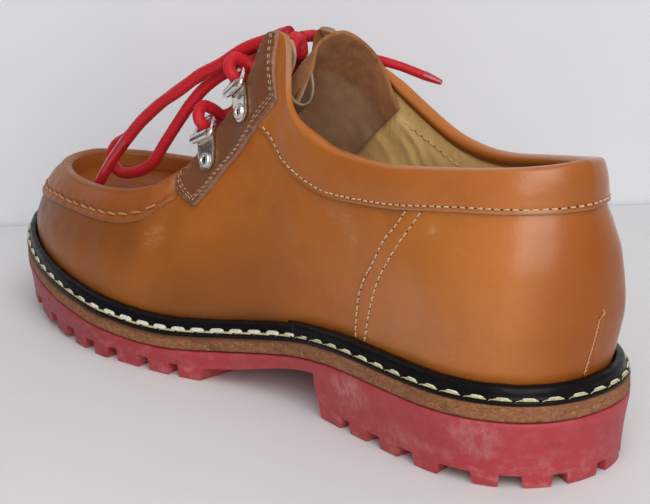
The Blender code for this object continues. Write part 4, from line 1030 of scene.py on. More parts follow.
def collar():
    i = np.linspace(0, 1, 360)

    def row(reach):
        """Distances round the shoe, ending at that station on both sides."""
        qq = q_of(-1, reach) - LOOP + (q_of(1, reach) - q_of(-1, reach) + LOOP) * i
        return (qq, *station_of(qq))

    def low_of(qq, inner, x):
        return band_low(x) - np.where(inner, 0.0, 0.012 * ease(0.0, 36.0, x))

    outs, ins, raws, burnish_and_shade_rows = [], [], [], []

    def add(out, inn, raw, burnish_and_shade=0.0):
        outs.append(out)
        ins.append(inn)
        raws.append(np.full(len(i), raw))
        burnish_and_shade_rows.append(np.full(len(i), burnish_and_shade))
    for k in (0, 0.12, 0.35, 0.7, 1.1, 1.7, 2.3, 3.0, 3.6):      # millimetres above the cut edge
        q, inner, x = row(137.0)
        t = low_of(q, inner, x) + k * per_mm(q, 0.9)
        bumps = 0.10 * wave(skin(q, t, np.zeros(len(q))), 12.0, 14)
        h = 1.30 * min(1.0, (0.15 + 0.85 * (1 - (1 - min(k / 0.55, 1)) ** 2)))
        groove = -0.30 * np.exp(-((k - 1.7) / 0.75) ** 2)
        add(skin(q, t, 0.30 + (h + groove + 0.4 * bumps) * showing(x, t)), skin(q, t, np.full(len(q), 0.2)), 1.0 if k < 0.5 else 0.0)
    for k in np.linspace(0, 1, 13)[1:]:
        q, inner, x = row(137.0 - 5.0 * k)
        t0 = low_of(q, inner, x) + 3.6 * per_mm(q, 0.9)
        t = t0 + (1 - t0) * k
        bumps = 0.10 * wave(skin(q, t, np.zeros(len(q))), 12.0, 14)
        thick = (1.30 + (0.35 + bumps) * sin(pi * k)) * showing(x, t)
        thick = thick + (0.06 - thick) * ease(104.0, 119.5, x) * ease(0.3, 0.9, k)
        add(skin(q, t, 0.30 + thick), skin(q, t, np.full(len(q), 0.2)), 0.0)
    q, inner, x = row(132.0)
    full = np.where(inner, ease(114.0, 97.0, x), ease(121.0, 112.0, x))      # the fold thins out up the tab
    bare = 0.75 * ease(117.0, 120.5, x)
    one = np.ones(len(q))
    side_in, top = normal_at(q, one), cubic(SKIN, q, one)
    up = top - cubic(SKIN, q, 0.97 * one)
    up /= np.linalg.norm(up, axis=1, keepdims=True)
    wide, high, mid = (1.00 + 1.55 * full)[:, None], (0.25 + 1.60 * full)[:, None], (-0.65 - 0.30 * full)[:, None]
    # the roll over the top edge, in painted shade on its inner half
    for a in np.linspace(0, pi, 14)[1:]:
        add(top + side_in * (mid + wide * cos(a)) + up * high * sin(a), top + side_in * (mid + 0.85 * cos(a)) + up * (high * 0.35) * sin(a), bare, 0.35 * ease(1.7, 2.6, a))
    # the turn-down within the collar, in painted shade
    for k in np.linspace(0, 1, 7)[1:]:
        t = 1 - 2.6 * per_mm(q, 0.9) * k
        add(skin(q, t, (mid - wide)[:, 0] + 0.6 * full * k ** 3), skin(q, t, mid[:, 0] - 0.85 - 0.3 * full), np.maximum(bare, 0.5 if k > 0.9 else 0.0), 0.65)
    v, f = shell(np.stack(outs, 1), np.stack(ins, 1))
    raw, burnish_and_shade = np.stack(raws, 1).ravel(), np.stack(burnish_and_shade_rows, 1).ravel()
    piece("collar_band_leather", v, f, COLLAR, "collar_band", "band", {"raw": np.concatenate([raw, raw]), "burnish_and_shade": np.concatenate([burnish_and_shade, burnish_and_shade])})
    qs = np.linspace(q_of(-1, 131.0) - LOOP, q_of(1, 131.5), 520)
    inner, x = station_of(qs)
    ts = low_of(qs, inner, x) + 1.7 * per_mm(qs, 0.9)
    sew("collar_stitches", [(*skin_path(qs, ts, 0.30 + 1.02 * showing(x, ts)), 2.9, 0.62, 0.30)], CREAM, "band")


collar()


# ---------------------------------------------------------------- facings
def polyline(points, s):
    p = np.array(points, float)
    d = np.concatenate([[0], np.cumsum(np.hypot(np.diff(p[:, 0]), np.diff(p[:, 1]) * 75))])
    s = np.asarray(s) * d[-1]
    return np.stack([np.interp(s, d, p[:, 0]), np.interp(s, d, p[:, 1])], -1)


FACE_LOW = ((124.8, 0.808), (128.0, 0.763), (130.5, 0.737), (136.5, 0.707), (143.0, 0.713), (149.0, 0.720), (153.0, 0.713), (156.0, 0.693),
            (160.0, 0.680), (162.3, 0.668), (163.5, 0.670))
FACE_FRONT = ((163.5, 0.670), (166.0, 0.703), (169.5, 0.760), (173.5, 0.833), (177.0, 0.917), (178.5, 1.0))
FACE_REAR = ((124.8, 0.808), (127.4, 0.838), (128.9, 0.880), (129.4, 0.927), (129.0, 0.973), (128.8, 1.0))
FACE_TOP = ((128.8, 1.0), (178.5, 1.0))


def near_edges(length, n):
    """Steps from one edge to the other, close together at both."""
    e = np.array([0, 0.10, 0.28, 0.5, 0.7, 0.85, 1.0, 1.3, 1.55, 1.75, 1.95, 2.3, 2.6, 2.9, 3.4, 3.8, 4.2, 4.8])
    mid = np.linspace(5.6, length - 5.6, n)
    return np.concatenate([e, mid, length - e[::-1]]) / length


def facing(side):
    tag = "medial" if side > 0 else "lateral"
    s, h = near_edges(62.0, 46), near_edges(26.0, 14)
    low, top = polyline(FACE_LOW, s), polyline(FACE_TOP, s)
    rear, front = polyline(FACE_REAR, h), polyline(FACE_FRONT, h)
    S, H = s[:, None, None], h[None, :, None]
    corner = ((1 - S) * (1 - H) * low[0] + S * (1 - H) * low[-1] + (1 - S) * H * top[0] + S * H * top[-1])
    g = (1 - H) * low[:, None] + H * top[:, None] + (1 - S) * rear[None] + S * front[None] - corner
    x, t = g[..., 0], g[..., 1]
    q = q_of(side, x)
    # distance to the nearest cut edge, measured on the leather
    base = skin(q, t, np.zeros(q.shape))
    rim = np.concatenate([base[0], base[-1], base[:, 0], base[:, -1]])
    d = np.sqrt(((base.reshape(-1, 1, 3) - rim[None]) ** 2).sum(-1).min(1)).reshape(q.shape)
    out = 0.25 + 1.5 * (0.12 + 0.88 * np.sqrt(np.clip(1 - (1 - np.clip(d / 0.7, 0, 1)) ** 2, 0, 1)))
    out = out + 0.45 * ease(8.0, 0.0, x - 123.0) * ease(0.98, 0.86, t)
    for at, deep, wide in ((0.85, 0.17, 0.17), (1.75, 0.18, 0.20), (2.6, 0.12, 0.35), (3.8, 0.10, 0.35)):
        out = out - deep * np.exp(-((d - at) / wide) ** 2)
    out = out + 0.12 * wave(base, 14.0, 21 + side)
    v, f = shell(skin(q, t, out), skin(q, t, np.full(q.shape, 0.16)))
    raw = np.clip(1.0 - d / 0.5, 0, 1).ravel()
    worn = (0.35 * np.exp(-(d / 2.0) ** 2)).ravel()
    # dark lines along the edge grooves and between the stitch rows
    lines = (0.75 * np.exp(-((d - 0.85) / 0.16) ** 2) + 0.85 * np.exp(-((d - 1.75) / 0.18) ** 2) + 0.3 * np.exp(-((d - 3.2) / 0.2) ** 2)).ravel()
    piece(f"facing_strap_{tag}", v, f, STRAP, f"facing_{tag}", "stay",
          {"raw": np.concatenate([raw, np.ones(raw.size) * 0.7]), "scuff": np.concatenate([worn, worn]), "burnish_and_shade": np.concatenate([lines, lines])}, 55)
    rows = []
    for inset in (2.6, 3.8):
        h0 = inset / 26.0
        s0 = inset / 62.0
        path = []
        for k in np.linspace(0.985, h0, 60):
            path.append((s0, k))
        for k in np.linspace(s0, 1 - s0, 140)[1:]:
            path.append((k, h0))
        for k in np.linspace(h0, 0.985, 60)[1:]:
            path.append((1 - s0, k))
        path = np.array(path)
        S, H = path[:, :1], path[:, 1:]
        lo, to, re, fr = polyline(FACE_LOW, path[:, 0]), polyline(FACE_TOP, path[:, 0]), polyline(FACE_REAR, path[:, 1]), polyline(FACE_FRONT, path[:, 1])
        c = (1 - S) * (1 - H) * low[0] + S * (1 - H) * low[-1] + (1 - S) * H * top[0] + S * H * top[-1]
        xt = (1 - H) * lo + H * to + (1 - S) * re + S * fr - c
        qs = q_of(side, xt[:, 0])
        o = 1.64 + 0.45 * ease(8.0, 0.0, xt[:, 0] - 123.0) * ease(0.98, 0.86, xt[:, 1])
        p, n = skin(qs, xt[:, 1], o), normal_at(qs, xt[:, 1])
        keep = np.concatenate([[True], np.linalg.norm(np.diff(p, axis=0), axis=1) > 1e-4])
        rows.append((p[keep], n[keep], 2.3, 0.60, 0.20))
    sew(f"facing_stitches_{tag}", rows, ROSE, "stay", False)


facing(1)
facing(-1)

# ---------------------------------------------------------------- apron: band round the rim, and the sunk plug
APRON_LOW = ((170.0, 0.840), (176.0, 0.833), (182.3, 0.821), (186.3, 0.796), (191.0, 0.771), (201.7, 0.750), (214.9, 0.746), (231.1, 0.746),
             (250.2, 0.729), (273.7, 0.633), (290.0, 0.600), (300.0, 0.590))
PUCKER = 5.9


def apron_line():
    q = np.linspace(q_of(1, 175.5), q_of(-1, 175.5), 560)
    _, x = station_of(q)
    line = cubic(SKIN, q, np.ones(len(q)))
    s = np.concatenate([[0], np.cumsum(np.linalg.norm(np.diff(line, axis=0), axis=1))])
    return q, x, line, s


def apron_inward(line):
    d = np.gradient(line, axis=0)
    n = np.stack([d[:, 1], -d[:, 0], np.zeros(len(d))], -1)
    return n / np.linalg.norm(n, axis=1, keepdims=True)


def apron():
    q, x, line, s = apron_line()
    low = smooth(column(APRON_LOW, 0), column(APRON_LOW, 1), x)
    inward = apron_inward(line)
    tall = np.linalg.norm(line - skin(q, low, np.zeros(len(q))), axis=1)
    pull = 0.5 + 0.5 * np.cos(2 * pi * s / PUCKER)          # 1 at each stitch
    soft = wave(line, 19.0, 33)
    taper = ease(175.5, 181.0, x)
    outs, ins, raws, burnish_and_shade_rows = [], [], [], []
    for k in (0, 0.012, 0.03, 0.07, 0.12, 0.18, 0.24, 0.30, 0.36, 0.43, 0.52, 0.62, 0.72, 0.82, 0.91, 1.0):
        lip = 0.12 + 0.88 * np.sqrt(max(0.0, 1 - (1 - min(k / 0.07, 1)) ** 2))
        puff = 0.55 * np.exp(-((k - 0.64) / 0.24) ** 2) + 0.25 * np.exp(-((k - 0.12) / 0.07) ** 2)
        pinch = 0.62 * np.exp(-((k - 0.28) / 0.09) ** 2)
        gather = (0.09 * np.exp(-((k - 0.50) / 0.22) ** 2) + 0.20 * np.exp(-((k - 0.14) / 0.1) ** 2)) * (0.5 - pull)
        o = 0.15 + taper * (1.05 * lip + puff - pinch * (0.55 + 0.45 * pull) + gather + 0.12 * soft)
        t = low + (1 - low) * k
        outs.append(skin(q, t, o))
        ins.append(skin(q, t, np.full(len(q), 0.06)))
        raws.append(np.full(len(q), 0.8 * (k < 0.03)))
        # painted shade in the pinch under the stitches; darker toward the toe, burnish with painted shade
        burnish_and_shade_rows.append(0.22 * np.exp(-((k - 0.28) / 0.08) ** 2) + 0.35 * ease(255, 300, x))
    edge_out = np.sum((outs[-1] - line) * -inward, axis=1)
    up = outs[-1][:, 2] - line[:, 2]
    # the rolled top of the rim: light painted shade, more toward the toe
    for a in np.linspace(0, pi, 13)[1:]:
        w = (1 - cos(a)) / 2
        wob = (0.05 * (0.5 - pull) + 0.10 * soft) * sin(a)
        outs.append(line - inward * (edge_out * (1 - w) - (3.2 * w))[:, None] + np.stack([0 * s, 0 * s, up * (1 - w) + 0.15 * w + (1.15 + wob) * sin(a)], -1))
        ins.append(line + inward * (0.3 + 1.6 * w) + np.array([0, 0, -0.25]))
        raws.append(np.zeros(len(q)))
        burnish_and_shade_rows.append(np.full(len(q), 0.12) + 0.25 * ease(255, 300, x))
    # the inner wall of the rim, in painted shade
    for k in np.linspace(0, 1, 8)[1:]:
        outs.append(line + inward * (3.2 + 0.5 * k) + np.array([0, 0, 0.15 - 6.8 * k]))
        ins.append(line + inward * (1.9 + 0.2 * k) + np.array([0, 0, -0.25 - 6.0 * k]))
        raws.append(np.zeros(len(q)))
        burnish_and_shade_rows.append(np.full(len(q), 0.1))
    v, f = shell(np.stack(outs, 1), np.stack(ins, 1))
    raw, burnish_and_shade = np.stack(raws, 1).ravel(), np.stack(burnish_and_shade_rows, 1).ravel()
    piece("apron_rim_band", v, f, RIM, slot="upper", marks={"raw": np.concatenate([raw, raw]), "burnish_and_shade": np.concatenate([burnish_and_shade, burnish_and_shade])}, angle=60)
    # hand stitches over the band, slightly slanting
    stitches, wells = [], []
    tq = lambda at: np.interp(at, s, q)
    rng = np.random.default_rng(4)
    for i in range(2, int(s[-1] / PUCKER) - 1):
        mid = i * PUCKER + rng.normal() * 0.15
        at = mid + np.linspace(-2.1, 2.1, 12)
        qq = tq(at)
        lo, ta = np.interp(at, s, low), np.interp(at, s, tall)
        t = lo + (1 - lo) * (0.28 + 0.025 * np.linspace(-1, 1, 12))
        u = np.linspace(-1, 1, 12)
        p, n = skin_path(qq, t, 0.72 + 0.62 * (1 - u ** 6) - 0.35 * u ** 6)
        r = 0.48 * (1 - 0.35 * u ** 4)
        stitches.append(strand(p, n, r, r * 0.8, 10, 0.12, 1.3))
        for e in (0, -1):
            w = np.cross(n[e], p[1] - p[0])
            w /= np.linalg.norm(w)
            g = np.cross(w, n[e])
            ring = [p[e] + n[e] * 0.28 + g * 0.62 * cos(a) + w * 0.48 * sin(a) for a in np.arange(10) * pi / 5]
            wells.append((np.array(ring + [p[e] - n[e] * 0.5]), [list(range(10))] + [[j, (j + 1) % 10, 10] for j in range(10)]))
    piece("apron_stitches", *merge(stitches), GOLD, slot="upper")
    piece("apron_stitches_holes", *merge(wells), HOLE_SHADE, slot="upper")
    # plug
    foot = line + inward * 3.4 + np.array([0, 0, -5.6])
    n = len(q) // 2
    a, b = foot[:n], foot[::-1][:n]
    fr = np.linspace(0, 1, 44)
    g = a[:, None] + (b - a)[:, None] * fr[None, :, None]
    wide = np.linalg.norm(b - a, axis=1)
    crown = (1.2 * np.sin(pi * fr)[None] + 0.9 * np.exp(-(np.minimum(fr, 1 - fr)[None] * wide[:, None] / 2.6) ** 2))
    crown = crown + 0.18 * wave(g, 16.0, 44)
    for x0, depth, slope in ((186.0, -0.9, 0.05), (195.0, 0.6, 0.10), (203.0, -0.7, 0.12), (212.0, 0.4, 0.15)):
        crown = crown + depth * np.exp(-((g[..., 0] - x0 - slope * g[..., 1]) / 3.6) ** 2)
    top = g + np.stack([0 * crown, 0 * crown, crown], -1)
    v, f = shell(top, g - np.array([0, 0, 1.4]))
    # painted shade along the plug's edges, where it sinks under the rim
    edge_shade = 0.5 * np.exp(-(np.minimum(fr, 1 - fr)[None] * wide[:, None] / 3.0) ** 2)
    piece("apron_plug_leather", v, f, APRON, slot="upper", marks={"burnish_and_shade": np.concatenate([edge_shade.ravel(), edge_shade.ravel()])})


apron()


# ---------------------------------------------------------------- tongue and gussets
TONGUE = (  # from the root up: points across from the inner to the outer edge
    ((186, 22, 49.5), (186.6, 11, 51.4), (187, -1, 52), (186.6, -11, 50.4), (186, -21, 47.5)),
    ((165, 21, 64), (168.5, 11.5, 69.8), (170, -1, 71.5), (168.5, -11, 69), (165, -20, 62)),
    ((145, 17, 84), (147, 10, 96), (146, -1, 100.5), (143.5, -14, 91), (140, -24.6, 75.2)),
    ((135, 13.5, 93), (137.5, 9, 105.5), (134.5, -0.5, 110.5), (131.5, -14, 99.5), (130.5, -22.7, 82.3)),
    ((127.5, 11.5, 102), (130.2, 7.6, 113.7), (125.6, 0.3, 118.6), (122.2, -13.3, 108), (120.5, -21.0, 89.6)),
    ((123.9, 8.6, 111.8), (122.8, 6.2, 122.0), (117.1, 1.0, 126.2), (114.1, -12.5, 116.0), (111.2, -19.7, 97.0)),
)
TONGUE_U = (0.0, 0.20, 0.38, 0.66, 1.0)
BELLOWS = ((130.5, 14.2, 122.6), (128.7, 13.8, 123.3), (126.8, 13.5, 120.6), (126.5, 13.4, 118.4), (127.1, 13.4, 115.5), (128.8, 13.8, 111.6),
           (130.0, 14.0, 108.2), (129.5, 13.6, 104.6), (128.0, 12.6, 102.1), (126.1, 11.4, 101.2), (123.7, 10.0, 102.4), (122.7, 9.1, 106.7), (123.9, 8.6, 111.8))


def grid_normal(g):
    n = np.cross(np.gradient(g, axis=0), np.gradient(g, axis=1))
    return n / np.maximum(np.linalg.norm(n, axis=2, keepdims=True), 1e-9)


def tongue():
    k = np.linspace(0, len(TONGUE) - 1, 90)
    u = np.linspace(0, 1, 60)
    table = np.array(TONGUE, float)
    cols = np.stack([np.stack([smooth(range(len(TONGUE)), table[:, c, j], k) for j in range(3)], -1) for c in range(5)], 1)
    g = np.stack([np.stack([smooth(TONGUE_U, cols[i, :, j], u) for j in range(3)], -1) for i in range(len(k))], 0)
    for _ in range(3):
        g[:, 1:-1] = 0.5 * g[:, 1:-1] + 0.25 * (g[:, :-2] + g[:, 2:])
    n = grid_normal(g)
    n = n * np.sign(n[..., 2].mean())
    top = k[:, None] / k[-1]
    soft = (0.30 * wave(g, 22.0, 51) + 0.10 * wave(g, 7.0, 52)) * ease(0.0, 0.1, 1 - top + 0 * u[None])
    g = g + n * soft[..., None]
    edge_d = np.minimum(np.minimum(u, 1.06 - u)[None] * 42, (1 - top) * 76)
    half = 0.85 * np.sqrt(np.clip(1 - (1 - np.clip(edge_d / 0.9, 0, 1)) ** 2, 0.06, 1))[..., None]
    v, f = shell(g + n * half * 0.6, g - n * half)
    burnish_and_shade = (0.10 * ease(0.88, 1.0, u)[None] + 0.0 * top).ravel()
    # a lighter patch low on the outer half: painted sheen of the nap, carried on the raw-edge mark
    nap_sheen = 0.42 * ease(0.0, 0.16, 0.74 - top + 0.40 * (u[None] - 0.6))
    left = ease(0.30, 0.12, u)[None]
    raw = np.maximum(0.40 * ease(1.2, 0.3, edge_d) * left * ease(1.0, 0.90, top), nap_sheen).ravel()
    piece("tongue_suede_flap", v, f, NAP, "tongue", "tongue", {"burnish_and_shade": np.concatenate([burnish_and_shade, burnish_and_shade]), "raw": np.concatenate([raw, raw])})
    return g, k


def gusset(g, k):
    """Bellows leather folded between the tongue and the tab: its free end dips in a U."""
    w = np.linspace(0, 1, 40)
    m = 90
    free = bend(np.array(BELLOWS), m)
    tab = [skin(q_of(1, np.array([x])), np.array([t]), np.array([-2.9]))[0] for x, t in ((153.0, 0.97), (152.0, 0.90), (150.0, 0.80), (147.5, 0.72))]
    inner = np.array([np.interp(2.2, k, g[:, 0, j]) for j in range(3)])
    deep = bend(np.array(tab + [(tab[-1] + inner) / 2 + np.array([0.5, 0.0, -1.5]), inner]), m)
    W = w[:, None, None]
    s = free[None] * (1 - W) + deep[None] * W
    nn = grid_normal(s)
    nn = nn * np.sign(nn[:12, 20:40, 1].mean())      # out of the fold, towards the tab
    s = s + nn * (0.22 * wave(s, 8.0, 61) * ease(0.0, 0.08, w)[:, None])[..., None]
    half = 0.55 * np.sqrt(np.clip(1 - (1 - np.clip(w * 34 / 0.6, 0, 1)) ** 2, 0.08, 1))[:, None, None]
    v, f = shell(s + nn * half, s - nn * half)
    raw = np.broadcast_to((0.60 * ease(0.022, 0.006, w))[:, None], s.shape[:2]).ravel()
    # painted shade: the face turned from the tab dark all over, the face toward the tab dark on the far half of the
    # fold, in the U
    dark = np.full(raw.size, 0.9) * (1 - raw)
    inside = dark * np.broadcast_to(ease(0.40, 0.55, np.linspace(0, 1, m))[None], s.shape[:2]).ravel()
    piece("tongue_gusset_medial", v, f, LEAF, slot="tongue", marks={"raw": np.concatenate([raw, raw]), "burnish_and_shade": np.concatenate([inside, dark])})


g, k = tongue()
gusset(g, k)


# ---------------------------------------------------------------- welt
def welt_paint():
    p = Paint("welt_black", Coat_Weight=0.07, Coat_Roughness=0.10, Specular_IOR_Level=0.09)
    dust = p.span(p.noise(6, 4, 0.7), 0.52, 0.75, 0.0, 0.5)
    c = p.mix(p.noise(14, 3), (0.0040, 0.0036, 0.0042), (0.0065, 0.0056, 0.0060))
    c = p.mix(dust, c, (0.012, 0.009, 0.009))
    p.set("Base Color", p.mix(p.span(p.noise(1.0, 3, 0.7), 0.64, 0.80, 0.0, 0.4), c, (0.06, 0.046, 0.040)))
    p.set("Roughness", p.span(p.noise(4, 3), 0.3, 0.7, 0.24, 0.40))
    n = p.bump(p.noise(2.2, 3, 0.6), 0.10)
    p.set("Normal", p.bump(p.noise(0.5, 2, 0.7), 0.04, n))
    return p.mat


BLACK = welt_paint()
WELT = (  # share of the way from the sole edge to the lip, height above the midsole
    (0.050, 0.00), (0.024, 0.20), (0.018, 0.55), (0.028, 0.90), (0.060, 1.12), (0.110, 1.24), (0.165, 1.30), (0.215, 1.38), (0.255, 1.62), (0.290, 2.15),
    (0.325, 3.05), (0.365, 4.00), (0.430, 4.70), (0.540, 5.08), (0.700, 5.28), (0.860, 5.32), (0.970, 5.20), (1.000, 4.80),
)
WELT_JOINT = 134.0


def lip_fraction(q):
    foot, top = cubic(SKIN, q, np.zeros(np.shape(q)))[..., 2], cubic(SKIN, q, np.ones(np.shape(q)))[..., 2]
    return 5.3 / (top - foot)


def welt_at(q, share, high):
    """Point of the welt: distance round the sole, share of the way to the lip, height above the midsole."""
    e, n = edge_at(q)
    lip = skin(q, lip_fraction(q), 0.42)
    room = np.sum((e - lip[..., :2]) * n, axis=-1)
    p = e - n * (share * room)[..., None]
    return np.concatenate([p, (midsole_top(p[..., 0]) + GAP + high)[..., None]], -1)


def welt():
    q = np.concatenate([np.arange(0, WELT_JOINT - 8, 1.3), np.arange(WELT_JOINT - 8, WELT_JOINT + 8, 0.3), np.arange(WELT_JOINT + 8, LOOP - 0.5, 1.3)])
    n = len(q)
    rows = []
    p0 = welt_at(q, np.zeros(n), np.zeros(n))
    uneven = wave(p0, 9.0, 71)
    for share, high in WELT:
        step = WELT_JOINT + 9.0 * (share - 0.45)
        lap = 0.75 * ease(step + 0.35, step - 0.1, q) * ease(step - 16, step - 2, q) * ease(0.0, 1.0, high)
        rows.append(welt_at(q, np.full(n, share), high + lap * (high > 1.2) + 0.08 * uneven * ease(2.0, 4.0, high)))
    inner = skin(q, np.zeros(n), 0.42)
    inner[:, 2] = midsole_top(inner[:, 0]) + GAP
    rows.append(inner)
    g = np.stack(rows, 1)
    piece("storm_welt", flat(g), net(n, len(rows), True, True), BLACK, "welt", "welt", angle=60)
    # braided outseam: broad white dashes at the waist, elsewhere thin ones over pale olive leaves
    whites, olives = [], []
    pitch = LOOP / round(LOOP / 8.4)
    rng = np.random.default_rng(9)
    u = np.linspace(-1, 1, 14)
    k = (u + 1) / 2
    for i in range(round(LOOP / pitch)):
        at = i * pitch + rng.normal() * 0.12
        r = min(at, LOOP - at)
        bold = float(ease(WELT_JOINT - 1, WELT_JOINT + 2, r) * ease(244, 208, r))
        s = at + (2.35 + 0.65 * bold) * u
        up = np.tile([0.0, 0.0, 1.0], (14, 1)) + np.concatenate([edge_at(s)[1], np.zeros((14, 1))], 1) * 0.8
        share = 0.200 + 0.030 * bold + 0.024 * u
        wide = (0.26 + 0.62 * bold + 0.03 * rng.normal()) * (1 - 0.5 * u ** 6)
        p = welt_at(s, share, np.full(14, 1.70 + 0.12 * bold) + 0.24 * (1 - u ** 4) - 0.5 * u ** 8)
        whites.append(strand(p, up, wide, np.minimum(wide, 0.36), 10, 0.06, 2.0))
        s = at + 0.5 + (1 - bold) * 0.1 + bold * (pitch / 2 - 0.5) + (3.75 - 0.3 * bold) * u
        up = np.tile([0.0, 0.0, 1.0], (14, 1)) + np.concatenate([edge_at(s)[1], np.zeros((14, 1))], 1) * 0.8
        share = 0.105 - 0.025 * bold - 0.045 * u + 0.02 * u ** 3
        wide = (0.52 - 0.04 * bold) * np.sin(np.clip(k * 1.06 + 0.05, 0, 1) * pi) ** 0.6 * (1 - 0.30 * k)
        p = welt_at(s, share, 1.36 - 0.05 * bold + 0.32 * np.sin(k * pi) ** 0.6 - 0.25 * u ** 8)
        olives.append(strand(p, up, np.maximum(wide, 0.13), np.maximum(0.55 * wide, 0.10), 10, 0.08, 2.5))
    piece("outseam_white", *merge(whites), WHITE, slot="welt")
    piece("outseam_olive", *merge(olives), OLIVE, slot="welt")


welt()


# ---------------------------------------------------------------- midsole
def midsole_paint():
    p = Paint("midsole_edge", Specular_IOR_Level=0.35)
    x, y, z = p.height_mm()
    fibre = p.noise(0.8, 4, 0.75, (0.55, 0.55, 1.0))
    c = p.mix(p.span(fibre, 0.32, 0.68), (0.180, 0.062, 0.025), (0.345, 0.142, 0.058))
    c = p.mix(p.span(p.noise(11, 3, 0.6, (0.7, 0.7, 1.2)), 0.45, 0.7, 0.0, 0.6), c, (0.21, 0.078, 0.038))
    c = p.mix(p.span(p.noise(3.2, 4, 0.7, (0.35, 0.35, 1.0)), 0.52, 0.74, 0.0, 0.7), c, (0.075, 0.026, 0.013))
    gold = p.span(p.noise(1.0, 3, 0.7, (0.6, 0.6, 1.0)), 0.58, 0.69)
    c = p.mix(p.math("MULTIPLY", gold, 0.7), c, (0.47, 0.28, 0.10))
    c = p.mix(p.mark("burnish_and_shade"), c, (0.05, 0.018, 0.008))
    p.set("Base Color", c)
    p.set("Roughness", p.span(p.noise(3, 3), 0.3, 0.7, 0.55, 0.75))
    n = p.bump(fibre, 0.09)
    p.set("Normal", p.bump(p.noise(0.5, 3, 0.7), 0.07, n))
    return p.mat


MIDSOLE_EDGE = (  # inset, height above the rubber, darkening: painted shade where the edge tucks in at top and bottom, and a faint dark layer line
    (0.9, 0.02, 0.7), (0.25, 0.12, 0.5), (0.0, 0.45, 0.12), (-0.05, 1.0, 0.0), (-0.04, 1.6, 0.0), (-0.02, 2.2, 0.0), (0.03, 2.7, 0.06), (0.05, 2.9, 0.08),
    (0.02, 3.2, 0.03), (-0.02, 3.7, 0.0), (-0.05, 4.3, 0.0), (0.0, 4.9, 0.1), (0.25, 5.25, 0.35), (0.9, 5.3, 0.6),
)


def cap(ids):
    """Close a ring of the sole across the shoe."""
    n = len(ids)
    faces = []
    for i in range(n // 2):
        ring = [ids[i], ids[i + 1], ids[(n - i - 1) % n], ids[(n - i) % n]]
        faces.append([int(v) for v in dict.fromkeys(ring)])
    return faces


def mirror_stations(n):
    """Distances round the sole that pair up across the shoe: heel to toe on the inner side, then back."""
    x = np.interp(np.linspace(0, RUN_IN, n), SIDES[1][2], SIDES[1][0])
    q_in = np.interp(x, SIDES[1][0], SIDES[1][2])
    q_out = LOOP - np.interp(x[-2:0:-1], SIDES[-1][0], SIDES[-1][2])
    return np.concatenate([q_in, q_out])


def midsole():
    q = mirror_stations(300)
    e, n = edge_at(q)
    rings, marks = [], []
    for inset, high, dark in MIDSOLE_EDGE:
        p = e - n * inset
        z = rubber_top(p[:, 0]) + GAP + high
        g = np.concatenate([p, z[:, None]], -1)
        rough = 0.10 * wave(g * (1, 1, 2.5), 6.0, 81) + 0.06 * wave(g * (1, 1, 4.0), 2.6, 82)
        rings.append(g + np.concatenate([n, 0 * z[:, None]], -1) * (rough - 0.08)[:, None])
        marks.append(np.clip(dark + 0.65 * ease(3.3, 4.9, high) * ease(95.0, 125.0, p[:, 0]), 0, 1))      # painted shade under the welt from the waist on
    m, c = len(rings), len(q)
    faces = net(m, c, wrap_c=True)
    for k in (0, m - 1):
        faces += cap([k * c + i for i in range(c)])
    piece("midsole_leather", np.concatenate(rings), faces, midsole_paint(), "midsole", "midsole", {"burnish_and_shade": np.concatenate(marks)}, 60)


midsole()


# ---------------------------------------------------------------- outsole
def rubber_paint():
    p = Paint("red_rubber", Specular_IOR_Level=0.35)
    x, y, z = p.height_mm()
    c = p.mix(p.noise(22, 3, 0.6), (0.375, 0.036, 0.044), (0.425, 0.047, 0.057))
    # painted shade: darker from the waist toward the toe
    c = p.mix(p.span(x, 0.0, 80.0, 0.0, 0.60), c, (0.250, 0.026, 0.031))
    worn = p.math("MULTIPLY", p.span(p.noise(6, 4, 0.72, (1, 1, 1.6)), 0.44, 0.70), p.span(z, 15.0, 2.0, 0.2, 0.75))
    c = p.mix(worn, c, (0.50, 0.150, 0.155))
    streak = p.span(p.noise(1.4, 4, 0.75, (0.5, 0.5, 1.2)), 0.62, 0.78)
    c = p.mix(p.math("MULTIPLY", streak, 0.45), c, (0.56, 0.26, 0.25))
    rub = p.span(p.noise(1.8, 4, 0.75, (0.8, 0.8, 0.35)), 0.34, 0.62)
    for x0, z0, wide, high, k in ((-72.0, 16.0, 15.0, 9.0, 0.48), (-127.0, 16.0, 12.0, 11.0, 0.30), (-100.0, 8.0, 20.0, 6.0, 0.22)):
        far = p.math("ADD", p.math("POWER", p.math("ABSOLUTE", p.math("MULTIPLY", p.math("SUBTRACT", x, x0), 1 / wide)), 2.0),
                     p.math("POWER", p.math("ABSOLUTE", p.math("MULTIPLY", p.math("SUBTRACT", z, z0), 1 / high)), 2.0))
        spot = p.math("MULTIPLY", p.span(p.math("ADD", far, p.math("MULTIPLY", p.noise(7, 4, 0.7), 1.6)), 1.5, 0.7, 0.0, k), p.span(y, 0.0, 6.0))
        c = p.mix(p.math("MULTIPLY", spot, rub), c, (0.62, 0.31, 0.31))
    grime = p.span(p.noise(9, 4, 0.65), 0.54, 0.78, 0.0, 0.26)
    c = p.mix(grime, c, (0.150, 0.020, 0.020))
    p.set("Base Color", c)
    p.set("Roughness", p.math("ADD", p.span(p.noise(4, 3), 0.3, 0.7, 0.42, 0.54), p.math("MULTIPLY", worn, 0.25)))
    n = p.bump(p.noise(3.5, 3, 0.6), 0.14)
    p.set("Normal", p.bump(p.noise(0.6, 3, 0.7), 0.06, n))
    return p.mat


